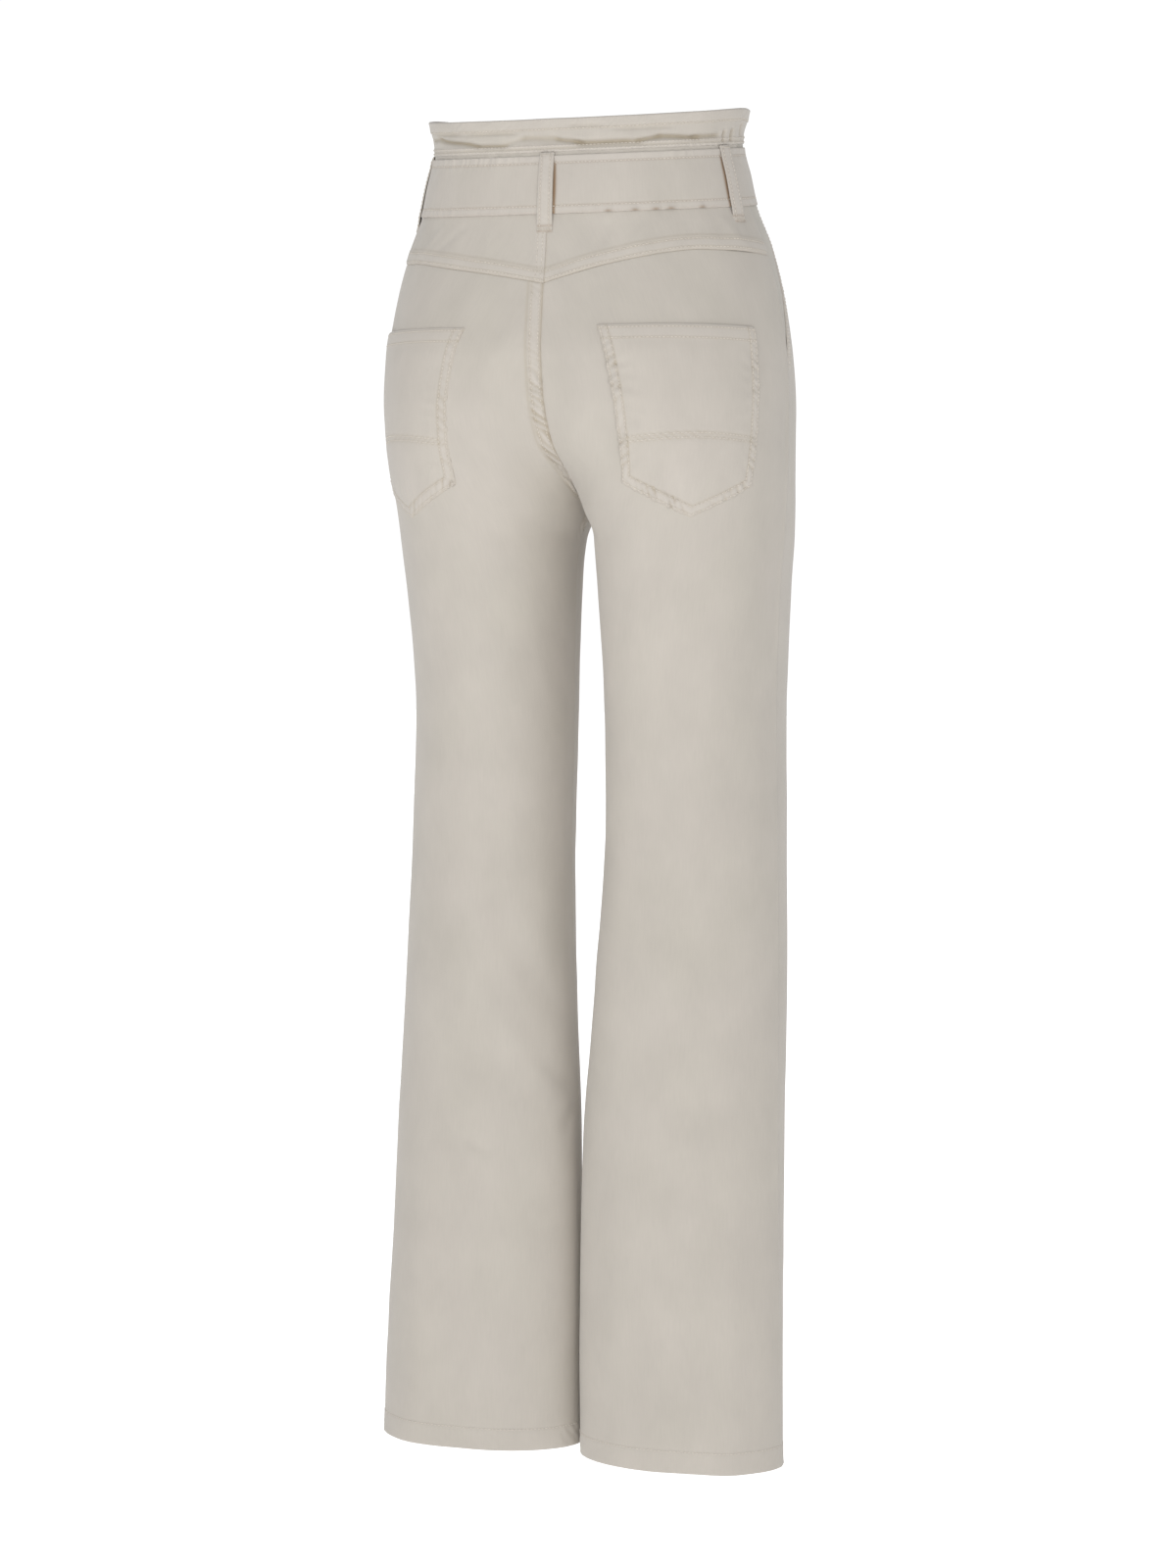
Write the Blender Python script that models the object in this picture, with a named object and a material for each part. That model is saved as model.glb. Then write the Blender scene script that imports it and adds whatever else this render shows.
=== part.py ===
"""Paperbag waist trousers, worn form with no wearer inside, made as the cut pieces of one garment.

Metres, +Z up.  The front of the garment faces -Y and the wearer's left is +X.  The origin is at the
middle of the belt, on the waist's own centre, where the wearer holds the garment up.

Every piece of cloth is a thin wall that follows one shape, the Form: a stack of level sections through
waist, hip, thighs and hems.  A place on the Form is a level and a `turn` round one half of the body:
-1 at the centre front and then the inseam, 0 at the outseam, +1 at the centre back and then the inseam.
"""
import bpy
import numpy as np
from mathutils import Vector

MM = 0.001

# ---------------------------------------------------------------- driving sizes, in millimetres
FRILL_TOP = 53.5          # upper edge of the paperbag frill
WAIST_SEAM = 26.0         # where frill, yokes and fronts meet
BELT_WIDTH = 45.0
YOKE_CREST = 0.38         # turn where the yoke seam stands highest
YOKE_CREST_LEVEL = -57.5
YOKE_POINT_DROP = 21.5    # from the crest down to the point at the centre back
YOKE_SIDE_DROP = 4.5      # from the crest down to the outseam
YOKE_SKEW = 3.0           # the seam sits this much lower on the wearer's left, higher on the right
YOKE_CURVE = 1.5          # how late the seam's drops set in, 1 for a straight slope
MOUTH_FOOT = -152.0       # lower end of the slanted front pocket mouths
MOUTH_REACH = 0.27        # turn from the outseam to the mouth's upper end
MOUTH_CURVE = 1.15        # how hollow the mouth is, 1 for straight
HEM = -1025.0
HEM_LIFT_LEFT = 4.0       # the left hem hangs a little higher than the right
WALL = 1.5                # one layer of twill with its seam allowances
DOUBLE_WALL = 2.4         # two layers, as in frill and belt
SEAM_GAP = 0.3            # clear space between two cut edges
SEAM_TURN = 0.0008        # half of a vertical seam's gap, as a share of the turn
INNER_SHARE = 1.1         # length of a section's inner quarter against its leg's centre distance
LAID_ON = 0.9             # clear space under a piece that lies on another
BELT_LIFT = 0.9           # clear space under the belt
LOOP_WIDTH = 13.0
LOOP_WALL = 1.6
POCKET_WALL = 1.6
FLY_WIDTH = 38.0
FLY_FOOT = -165.0
FLY_INSET = 1.0           # from the centre front to the placket's inner edge
FLY_CURVE_START = 0.75    # share of the depth where the placket starts to narrow
FLY_NARROWING = 0.55      # share of its width lost at the foot
LOOP_SLACK = 0.4          # play between belt and loop
LOOP_BOW = 0.8            # the loop stands this much further off at the belt's middle
LOOP_BEND = 3.0           # height of the bends above and below the belt
KNOT_LEVEL = 0.0
KNOT_WIDTH = 40.0
KNOT_HEIGHT = 52.0
KNOT_DEPTH = 15.0
KNOT_CLEAR = 0.5
KNOT_END_ROUNDING = 0.45  # powers that square off the rounded pad, 1 for an ellipse
KNOT_SIDE_ROUNDING = 0.7
TAIL_WIDTH = 42.0
TAIL_NECK = 26.0          # width where a tail leaves the knot
TAIL_START = 3.0          # distance of a tail's inner edge from the centre front at the knot
TAIL_SLANT = 26.0         # how much shorter the slanted end is on one side
TAIL_SLANT_START = 0.7    # share of the length where the slant sets in
TAIL_FALL = 5.0           # how far a tail stands off the front where it leaves the knot
TAIL_FALL_END = 0.4       # share of the length where it has come down to the front
TAIL_WIDE_FROM = 0.5      # share of the length where it has its full width
TAIL_UNDER_KNOT = 2.0     # clear height between knot and tails
BELT_FRONT_GAP = 1.0      # between the belt's ends, under the knot
FACING_OVERLAP = 12.0     # the facing ends this far below the pocket mouth
FACING_UNDER_TURN = 0.055  # and this far under the front panel, as a share of the turn
FACING_DROP = 1.0         # clear space between the front panel's underside and the facing

# ---------------------------------------------------------------- how finely the walls are faceted
PANEL_COLUMNS = 13
SEAT_ROWS = 12            # from the top of a panel to FORK_START
FORK_ROWS = 6             # from there past the crotch to FORK_END
LEG_ROWS = 10             # and on to the hem
FORK_START = -228.0
FORK_END = -290.0
YOKE_ROWS = 7
FACING_COLUMNS = 6
FACING_ROWS = 13
FLY_COLUMNS = 4
FLY_ROWS = 7
POCKET_HALF_COLUMNS = 6   # from either side to the point
POCKET_ROWS = 9
FRILL_COLUMNS = 73
FRILL_ROWS = 3
BELT_COLUMNS = 61
BELT_ROWS = 2
LOOP_COLUMNS = 3
KNOT_ROWS = 8
KNOT_COLUMNS = 14
TAIL_COLUMNS = 4
TAIL_ROWS = 13

# The frill's waves: how many in the half turn from side to side, their reach and where they start.
# They are quiet at the back and full in front, and grow from the seam to the free edge.
QUIET_SHARE = 0.55
QUIET_WAY = 0.6           # ring share where the waves start to grow
FRILL_FLARE = 1.3
RUFFLES = (
    (7.0, 1.0, 0.4),
    (11.0, 0.9, 1.7),
    (17.0, 0.7, 0.9),
)

# One row for each level section.  half_width is the outseam's distance from the centre plane and
# centre the distance of a leg's own middle; back and front are depths from the row's middle line at
# y = shift; pinch tells how far the cloth is drawn in at the centre plane, 0 flat and 1 at the crotch,
# and above 1 the legs stand apart; splay swings the front of a leg outwards; tilt drops the back.
SECTION_COLUMNS = (
    "level", "half_width", "centre", "shift", "back", "front", "pinch_back", "pinch_front", "splay", "tilt")
SECTIONS = (
    (70.0, 134.0, 28.0, 5.0, 89.0, 97.0, 0.00, 0.00, 0.00, 0.145),
    (50.0, 131.0, 28.0, 5.0, 88.0, 96.0, 0.00, 0.00, 0.00, 0.140),
    (26.0, 126.0, 28.0, 5.0, 87.0, 95.0, 0.00, 0.00, 0.00, 0.115),
    (0.0, 131.5, 30.0, 5.0, 90.0, 99.0, 0.00, 0.00, 0.00, 0.110),
    (-26.0, 137.8, 34.0, 5.0, 92.5, 102.0, 0.03, 0.03, 0.00, 0.105),
    (-56.0, 149.5, 42.0, 3.5, 98.0, 104.0, 0.10, 0.10, 0.00, 0.090),
    (-103.0, 161.3, 54.0, 1.0, 110.5, 106.0, 0.26, 0.22, 0.00, 0.060),
    (-140.0, 166.0, 64.0, -1.0, 118.5, 107.0, 0.35, 0.34, 0.00, 0.035),
    (-173.0, 167.5, 72.0, -3.0, 119.5, 105.0, 0.43, 0.48, 0.00, 0.020),
    (-205.0, 166.8, 79.0, -5.0, 115.5, 101.0, 0.58, 0.66, 0.00, 0.010),
    (-236.0, 165.5, 84.0, -7.0, 108.0, 96.0, 0.88, 0.87, 0.02, 0.000),
    (-264.0, 163.8, 86.5, -8.0, 99.0, 92.0, 1.03, 1.03, 0.06, 0.000),
    (-288.0, 162.3, 87.0, -8.4, 94.5, 90.4, 1.15, 1.15, 0.08, 0.000),
    (-325.0, 159.0, 87.0, -9.0, 89.0, 88.0, 1.20, 1.20, 0.10, 0.000),
    (-420.0, 154.8, 85.5, -13.0, 79.0, 79.0, 1.26, 1.26, 0.12, 0.000),
    (-516.0, 157.2, 87.0, -10.0, 72.0, 72.0, 1.27, 1.27, 0.13, 0.000),
    (-643.0, 161.5, 87.0, 0.0, 65.0, 65.0, 1.17, 1.17, 0.18, 0.000),
    (-770.0, 164.8, 86.0, 10.0, 60.0, 60.0, 1.055, 1.055, 0.17, 0.000),
    (-900.0, 168.8, 86.2, 17.0, 56.0, 56.0, 1.02, 1.02, 0.07, 0.000),
    (-1040.0, 172.3, 86.5, 21.0, 53.0, 53.0, 1.02, 1.02, -0.04, 0.000),
)

# A back pocket's corners, seen flat, as run and level: run is the distance from the outseam along the
# cloth.  The inner side comes first.
POCKET_TOP = ((174.5, -115.0), (41.5, -119.0))
POCKET_FOOT = ((161.0, -242.0), (99.0, -269.0), (49.5, -245.0))
POCKET_SKEW = 6.0         # both pockets sit this far round towards the wearer's right
POCKET_BOW = 4.0          # how far the inner side swells towards the centre back

# One row for each belt loop: its name, turn, side, and the levels of its top and foot.
LOOPS = (
    ("belt_loop_back", 1.0, 1, 27.0, -37.0),
    ("belt_loop_side_left", 0.13, 1, 27.0, -35.0),
    ("belt_loop_side_right", 0.13, -1, 27.0, -35.0),
    ("belt_loop_front_left", -0.60, 1, 27.0, -35.0),
    ("belt_loop_front_right", -0.60, -1, 27.0, -35.0),
)

# One row for each free end of the tie: name, side, length, lean and lift.  Lean is how far it swings
# out from the centre over its length; the left end hangs over the fly placket.
TAILS = (
    ("belt_tail_left", 1, 236.0, 16.0, 1.2 + LAID_ON + WALL),
    ("belt_tail_right", -1, 214.0, 22.0, 1.2),
)

ECRU = (0.558, 0.521, 0.462)
ECRU_LIGHT = (0.590, 0.552, 0.495)
ECRU_SHADE = (0.500, 0.462, 0.402)


# ---------------------------------------------------------------- the form
def column_curves(levels):
    """Each section column as a smooth curve read at the given levels, keyed by column name."""
    rows = np.array(SECTIONS)[::-1]
    known = rows[:, 0]
    curves = {}
    for index, name in enumerate(SECTION_COLUMNS):
        values = rows[:, index]
        steps = np.diff(values) / np.diff(known)
        slopes = np.zeros_like(values)
        inner = np.where(steps[1:] * steps[:-1] > 0,
                         2 * steps[1:] * steps[:-1] / (steps[1:] + steps[:-1] + 1e-12), 0.0)
        slopes[1:-1] = inner
        slopes[0] = steps[0]
        slopes[-1] = steps[-1]
        place = np.clip(np.searchsorted(known, levels) - 1, 0, len(known) - 2)
        width = known[place + 1] - known[place]
        t = (levels - known[place]) / width
        curves[name] = ((1 + 2 * t) * (1 - t) ** 2 * values[place]
                        + t * (1 - t) ** 2 * width * slopes[place]
                        + t * t * (3 - 2 * t) * values[place + 1]
                        + t * t * (t - 1) * width * slopes[place + 1])
    return curves


class Form:
    """The worn shape of one half of the garment (+X), tabulated by level and turn, in millimetres.

    Each level's section runs from the outseam round an outer quarter to the leg's own middle, then
    along an inner quarter to the centre plane or the inseam.  Turn follows the cloth: `split` is the
    turn at the leg's middle, which moves smoothly from level to level.
    """

    level_step = 2.0
    turn_count = 97       # samples from outseam to centre, each way
    arc_count = 300       # finer samples along a quarter, from which its length is found

    def __init__(self):
        self.levels = np.arange(SECTIONS[-1][0], SECTIONS[0][0] + 0.1, self.level_step)
        self.turns = np.linspace(-1.0, 1.0, 2 * self.turn_count - 1)
        columns = column_curves(self.levels)
        self.points = np.zeros((len(self.levels), len(self.turns), 3))
        self.measures = np.zeros((len(self.levels), 2, 3))
        for row in range(len(self.levels)):
            section = {name: columns[name][row] for name in SECTION_COLUMNS}
            front, self.measures[row, 0] = self.half_section(section, -1)
            back, self.measures[row, 1] = self.half_section(section, 1)
            self.points[row] = np.vstack((front[::-1], back[1:]))
        down = np.gradient(self.points, axis=0)
        around = np.gradient(self.points, axis=1)
        normals = np.cross(around, down)
        self.normals = normals / np.linalg.norm(normals, axis=2, keepdims=True)

    def half_section(self, section, way):
        """Points from the outseam round to the centre plane or inseam; way is 1 for back, -1 for front.
        Also the outer and inner lengths and the turn where they meet."""
        depth = section["back"] if way > 0 else section["front"]
        pinch = max(section["pinch_back"] if way > 0 else section["pinch_front"], 1e-4)
        outer = section["half_width"] - section["centre"]
        inner = section["centre"] / pinch
        last = np.arcsin(min(pinch, 1.0))
        angle = np.concatenate((np.linspace(-np.pi / 2, 0.0, self.arc_count, endpoint=False),
                                np.linspace(0.0, last, self.arc_count)))
        across = np.where(angle < 0, -outer * np.sin(angle), -inner * np.sin(angle))
        y = depth * np.cos(angle) * way
        x = section["centre"] + across - section["splay"] * y
        y = y + section["shift"]
        length = np.concatenate(([0.0], np.cumsum(np.hypot(np.diff(x), np.diff(y)))))
        outer_run = length[self.arc_count]
        inner_run = length[-1] - outer_run
        split = outer_run / (outer_run + INNER_SHARE * section["centre"])
        turn = np.linspace(0.0, 1.0, self.turn_count)
        wanted = np.where(turn < split, outer_run * turn / split,
                          outer_run + inner_run * (turn - split) / (1.0 - split))
        x = np.interp(wanted, length, x)
        y = np.interp(wanted, length, y)
        z = section["level"] - section["tilt"] * y
        return np.stack((x, y, z), axis=1), (outer_run, inner_run, split)

    def at(self, turn, level):
        """Position and outward normal at each turn and level, by linear steps in the table."""
        turn, level = np.broadcast_arrays(np.asarray(turn, float), np.asarray(level, float))
        row = (level - self.levels[0]) / self.level_step
        column = (turn + 1.0) * (self.turn_count - 1)
        low = np.clip(np.floor(row).astype(int), 0, len(self.levels) - 2)
        left = np.clip(np.floor(column).astype(int), 0, len(self.turns) - 2)
        a = (row - low)[..., None]
        b = (column - left)[..., None]
        found = []
        for table in (self.points, self.normals):
            lower = table[low, left] * (1 - b) + table[low, left + 1] * b
            upper = table[low + 1, left] * (1 - b) + table[low + 1, left + 1] * b
            found.append(lower * (1 - a) + upper * a)
        point, normal = found
        return point, normal / np.linalg.norm(normal, axis=-1, keepdims=True)

    def side_turn(self, run, level, way):
        """The turn `run` millimetres along the cloth from the outseam, on the back (1) or front (-1)."""
        outer, inner, split = (np.interp(level, self.levels, self.measures[:, (way + 1) // 2, i])
                               for i in range(3))
        run = np.asarray(run, float)
        share = np.where(run < outer, split * run / outer, split + (1 - split) * (run - outer) / inner)
        return way * share

    def middle_turn(self, run, level, way):
        """The turn `run` millimetres along the cloth from the centre back (1) or centre front (-1)."""
        whole = sum(np.interp(level, self.levels, self.measures[:, (way + 1) // 2, i]) for i in (0, 1))
        return self.side_turn(whole - np.asarray(run, float), level, way)

    def length(self, level, way):
        """Length of the half section at a level, from the outseam to the centre."""
        return sum(np.interp(level, self.levels, self.measures[:, (way + 1) // 2, i]) for i in (0, 1))


FORM = Form()


# ---------------------------------------------------------------- making solids
def material(name, colour, roughness):
    """A Principled cloth material."""
    made = bpy.data.materials.new(name)
    made.use_nodes = True
    shader = made.node_tree.nodes["Principled BSDF"]
    shader.inputs["Base Color"].default_value = (*colour, 1.0)
    shader.inputs["Roughness"].default_value = roughness
    shader.inputs["Metallic"].default_value = 0.0
    return made


def solid(name, vertices, faces, made_of):
    """A mesh object from vertices in millimetres, its faces turned outwards."""
    mesh = bpy.data.meshes.new(name)
    mesh.from_pydata([tuple(v * MM) for v in vertices], [], faces)
    mesh.validate()
    if signed_volume(mesh) < 0:
        mesh.flip_normals()
    mesh.shade_smooth()
    mesh.set_sharp_from_angle(angle=np.radians(40))
    mesh.materials.append(made_of)
    thing = bpy.data.objects.new(name, mesh)
    bpy.context.scene.collection.objects.link(thing)
    return thing


def signed_volume(mesh):
    """Six times the enclosed volume, positive where the faces point out."""
    total = 0.0
    for face in mesh.polygons:
        corners = [mesh.vertices[i].co for i in face.vertices]
        for second, third in zip(corners[1:-1], corners[2:]):
            total += corners[0].dot(second.cross(third))
    return total


def wall_between(name, outer, inner, made_of):
    """A closed wall from two grids of points, rows by columns."""
    rows, columns = outer.shape[:2]
    count = rows * columns
    faces = []
    for r in range(rows - 1):
        for c in range(columns - 1):
            a = r * columns + c
            quad = (a, a + 1, a + columns + 1, a + columns)
            faces.append(quad)
            faces.append(tuple(i + count for i in reversed(quad)))
    rim = [c for c in range(columns)]
    rim += [r * columns + columns - 1 for r in range(1, rows)]
    rim += [(rows - 1) * columns + c for c in range(columns - 2, -1, -1)]
    rim += [r * columns for r in range(rows - 2, 0, -1)]
    for first, second in zip(rim, rim[1:] + rim[:1]):
        faces.append((second, first, first + count, second + count))
    vertices = np.vstack((outer.reshape(-1, 3), inner.reshape(-1, 3)))
    return solid(name, vertices, faces, made_of)


def half_points(side, turn, level, lift):
    """Points on one half of the body, lifted off the form and kept clear of the centre plane."""
    point, normal = FORM.at(turn, level)
    moved = point + normal * np.asarray(lift)[..., None]
    moved[..., 0] = np.maximum(moved[..., 0], SEAM_GAP / 2)
    moved[..., 0] *= side
    return moved


def half_piece(name, side, turn, level, lift, wall, made_of):
    """A wall on one half of the body, its underside `lift` off the form."""
    outer = half_points(side, turn, level, lift + wall)
    inner = half_points(side, turn, level, lift)
    return wall_between(name, outer, inner, made_of)


def ring_points(round_way, level, lift):
    """Points right round the waist; round_way runs from -2 at the centre front, by the wearer's left
    and 0 at the centre back, to +2 at the centre front again."""
    point, normal = FORM.at(1.0 - np.abs(round_way), level)
    moved = point + normal * np.asarray(lift)[..., None]
    moved[..., 0] *= np.where(round_way <= 0, 1.0, -1.0)
    return moved


# ---------------------------------------------------------------- the cut lines
def smooth_step(t):
    """0 to 1 with level ends."""
    t = np.clip(t, 0.0, 1.0)
    return t * t * (3 - 2 * t)


def yoke_seam(turn, side):
    """Level of the back yoke's lower seam: near level at the hip, dropping to the point at the back."""
    middle_drop = np.clip((turn - YOKE_CREST) / (1.0 - YOKE_CREST), 0.0, 1.0) ** YOKE_CURVE
    side_drop = np.clip(1.0 - turn / YOKE_CREST, 0.0, 1.0) ** YOKE_CURVE
    skew = -side * YOKE_SKEW * np.sin(np.pi * turn)
    return YOKE_CREST_LEVEL - YOKE_POINT_DROP * middle_drop - YOKE_SIDE_DROP * side_drop + skew


def mouth_turn(level):
    """Turn of the front panel's outer edge: along the outseam, then up the slanted pocket mouth."""
    climb = np.clip((level - MOUTH_FOOT) / (WAIST_SEAM - MOUTH_FOOT), 0.0, 1.0)
    return -SEAM_TURN - MOUTH_REACH * climb ** MOUTH_CURVE


def panel_levels(top, hem):
    """Levels of a panel's rows for each turn: over the seat, closer about the crotch, down the leg."""
    seat = np.linspace(0.0, 1.0, SEAT_ROWS)[:, None]
    fork = np.linspace(FORK_START, FORK_END, FORK_ROWS)[1:, None] + np.zeros_like(top)
    leg = np.linspace(FORK_END, hem, LEG_ROWS)[1:, None] + np.zeros_like(top)
    return np.vstack((top + (FORK_START - top) * seat, fork, leg))


# ---------------------------------------------------------------- the pieces
def hem_level(side):
    """Level of one leg's hem."""
    return HEM + (HEM_LIFT_LEFT if side > 0 else 0.0)


def back_panel(name, side, made_of):
    """Seat and back of one leg, from the yoke seam to the hem."""
    across = np.linspace(SEAM_TURN, 1.0 - SEAM_TURN, PANEL_COLUMNS)
    level = panel_levels(yoke_seam(across, side) - SEAM_GAP / 2, hem_level(side))
    turn = np.broadcast_to(across, level.shape)
    return half_piece(name, side, turn, level, -WALL, WALL, made_of)


def front_panel(name, side, made_of):
    """Front of one leg, from the frill to the hem, its upper outer corner cut away by the pocket mouth."""
    share = np.linspace(0.0, 1.0, PANEL_COLUMNS)
    top = np.full(PANEL_COLUMNS, WAIST_SEAM - SEAM_GAP / 2)
    level = panel_levels(top, hem_level(side))
    outer = mouth_turn(level[:, :1])
    turn = outer + (-1.0 + SEAM_TURN - outer) * share
    return half_piece(name, side, turn, level, -WALL, WALL, made_of)


def yoke(name, side, made_of):
    """Back yoke of one side, from the frill down to the pointed seam."""
    turn, share = np.meshgrid(np.linspace(SEAM_TURN, 1.0 - SEAM_TURN, PANEL_COLUMNS),
                              np.linspace(0.0, 1.0, YOKE_ROWS))
    top = WAIST_SEAM - SEAM_GAP / 2
    level = top + (yoke_seam(turn, side) + SEAM_GAP / 2 - top) * share
    return half_piece(name, side, turn, level, -WALL, WALL, made_of)


def pocket_facing(name, side, made_of):
    """Hip piece that fills a front pocket's mouth, one layer further in than the front."""
    top = WAIST_SEAM - SEAM_GAP / 2
    share, down = np.meshgrid(np.linspace(0.0, 1.0, FACING_COLUMNS), np.linspace(0.0, 1.0, FACING_ROWS))
    level = top + (MOUTH_FOOT - FACING_OVERLAP - top) * down
    inner = mouth_turn(level) - FACING_UNDER_TURN
    turn = -SEAM_TURN + (inner + SEAM_TURN) * share
    return half_piece(name, side, turn, level, -2 * WALL - FACING_DROP, WALL, made_of)


def fly(name, side, made_of):
    """Fly placket laid on the front, from under the belt to its foot."""
    share, down = np.meshgrid(np.linspace(0.0, 1.0, FLY_COLUMNS), np.linspace(0.0, 1.0, FLY_ROWS))
    top = -BELT_WIDTH / 2 - SEAM_GAP
    level = top + (FLY_FOOT - top) * down
    curve = np.clip((down - FLY_CURVE_START) / (1.0 - FLY_CURVE_START), 0.0, 1.0) ** 2
    width = FLY_WIDTH * (1.0 - FLY_NARROWING * curve)
    turn = FORM.middle_turn(FLY_INSET + width * share, level, -1)
    return half_piece(name, side, turn, level, LAID_ON, WALL, made_of)


def back_pocket(name, side, made_of):
    """Patch pocket with a pointed foot, laid on the back panel."""
    top = np.array(POCKET_TOP)
    foot = np.array(POCKET_FOOT)
    point_share = (foot[1, 0] - foot[0, 0]) / (foot[2, 0] - foot[0, 0])
    inner_shares = np.linspace(0.0, point_share, POCKET_HALF_COLUMNS)
    outer_shares = np.linspace(point_share, 1.0, POCKET_HALF_COLUMNS)[1:]
    across, down = np.meshgrid(np.concatenate((inner_shares, outer_shares)),
                               np.linspace(0.0, 1.0, POCKET_ROWS))
    bow = POCKET_BOW * np.sin(np.pi * down) * (1.0 - across)
    foot_run = foot[0, 0] + (foot[2, 0] - foot[0, 0]) * across
    foot_level = np.interp(across, (0.0, point_share, 1.0), foot[:, 1])
    top_run = top[0, 0] + (top[1, 0] - top[0, 0]) * across
    top_level = top[0, 1] + (top[1, 1] - top[0, 1]) * across
    run = top_run + (foot_run - top_run) * down + bow - side * POCKET_SKEW
    level = top_level + (foot_level - top_level) * down
    turn = FORM.side_turn(run, level, 1)
    return half_piece(name, side, turn, level, LAID_ON, POCKET_WALL, made_of)


def ruffle(round_way):
    """Outward swing of the frill's free edge, uneven round the waist, fuller towards the front."""
    fullness = QUIET_SHARE + (1.0 - QUIET_SHARE) * smooth_step(np.abs(round_way) - QUIET_WAY)
    waves = sum(size * np.sin(count * np.pi * round_way / 2.0 + phase) for count, size, phase in RUFFLES)
    return fullness * waves


def frill(name, made_of):
    """Paperbag frill: a doubled band standing above the waist seam, open at the centre front."""
    round_way, share = np.meshgrid(np.linspace(-2.0 + SEAM_TURN, 2.0 - SEAM_TURN, FRILL_COLUMNS),
                                   np.linspace(0.0, 1.0, FRILL_ROWS))
    foot = WAIST_SEAM + SEAM_GAP / 2
    level = foot + (FRILL_TOP - foot) * share
    swing = ruffle(round_way) * share ** FRILL_FLARE
    outer = ring_points(round_way, level, swing)
    inner = ring_points(round_way, level, swing - DOUBLE_WALL)
    return wall_between(name, outer, inner, made_of)


def belt(name, made_of):
    """Self-cloth belt round the waist, its ends meeting under the knot."""
    half_gap = BELT_FRONT_GAP / 2 / FORM.length(0.0, -1)
    round_way, share = np.meshgrid(np.linspace(-2.0 + half_gap, 2.0 - half_gap, BELT_COLUMNS),
                                   np.linspace(0.0, 1.0, BELT_ROWS))
    level = BELT_WIDTH * (0.5 - share)
    outer = ring_points(round_way, level, np.full(level.shape, BELT_LIFT + DOUBLE_WALL))
    inner = ring_points(round_way, level, np.full(level.shape, BELT_LIFT))
    return wall_between(name, outer, inner, made_of)


def belt_loop(name, turn, side, top, foot, made_of):
    """Strip that stands over the belt, its two ends down on the garment."""
    over_belt = BELT_LIFT + DOUBLE_WALL + SEAM_GAP + LOOP_SLACK
    half_belt = BELT_WIDTH / 2
    rows = ((top, LAID_ON), (half_belt + LOOP_BEND, over_belt), (half_belt / 2, over_belt + LOOP_BOW),
            (-half_belt / 2, over_belt + LOOP_BOW), (-half_belt - LOOP_BEND, over_belt), (foot, LAID_ON))
    level = np.array([row[0] for row in rows])[:, None] + np.zeros(LOOP_COLUMNS)
    lift = np.array([row[1] for row in rows])[:, None] + np.zeros(LOOP_COLUMNS)
    half_turn = LOOP_WIDTH / 2 / FORM.length(0.0, 1 if turn > 0 else -1)
    spread = np.linspace(-half_turn, half_turn, LOOP_COLUMNS)
    if turn < 1.0:
        return half_piece(name, side, turn + np.broadcast_to(spread, level.shape), level, lift,
                          LOOP_WALL, made_of)
    round_way = np.broadcast_to(spread, level.shape)
    return wall_between(name, ring_points(round_way, level, lift + LOOP_WALL),
                        ring_points(round_way, level, lift), made_of)


def front_middle(level):
    """The form's point at the centre front, with the waist's tilt."""
    point, _ = FORM.at(-1.0, level)
    return point


def belt_knot(name, made_of):
    """The tie's knot: a rounded pad of cloth in front of the belt at the centre front."""
    middle = front_middle(KNOT_LEVEL)
    over_belt = BELT_LIFT + DOUBLE_WALL + SEAM_GAP + KNOT_CLEAR
    back_face = front_middle(KNOT_LEVEL - KNOT_HEIGHT / 2)[1] - over_belt
    rows = np.linspace(-np.pi / 2, np.pi / 2, KNOT_ROWS)
    round_angles = np.linspace(0.0, 2 * np.pi, KNOT_COLUMNS, endpoint=False)
    vertices = [Vector((0.0, back_face - KNOT_DEPTH / 2, middle[2] - KNOT_HEIGHT / 2))]
    for row in rows[1:-1]:
        reach = np.cos(row) ** KNOT_END_ROUNDING
        height = KNOT_HEIGHT / 2 * np.sin(row)
        for angle in round_angles:
            across, deep = np.cos(angle), np.sin(angle)
            x = KNOT_WIDTH / 2 * reach * np.sign(across) * abs(across) ** KNOT_SIDE_ROUNDING
            y = KNOT_DEPTH / 2 * reach * np.sign(deep) * abs(deep) ** KNOT_SIDE_ROUNDING
            vertices.append(Vector((x, back_face - KNOT_DEPTH / 2 + y, middle[2] + height)))
    vertices.append(Vector((0.0, back_face - KNOT_DEPTH / 2, middle[2] + KNOT_HEIGHT / 2)))
    faces = []
    last = len(vertices) - 1
    for c in range(KNOT_COLUMNS):
        following = (c + 1) % KNOT_COLUMNS
        faces.append((0, 1 + following, 1 + c))
        for r in range(KNOT_ROWS - 3):
            low = 1 + r * KNOT_COLUMNS
            high = low + KNOT_COLUMNS
            faces.append((low + c, low + following, high + following, high + c))
        top_ring = 1 + (KNOT_ROWS - 3) * KNOT_COLUMNS
        faces.append((top_ring + c, top_ring + following, last))
    return solid(name, vertices, faces, made_of)


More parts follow.
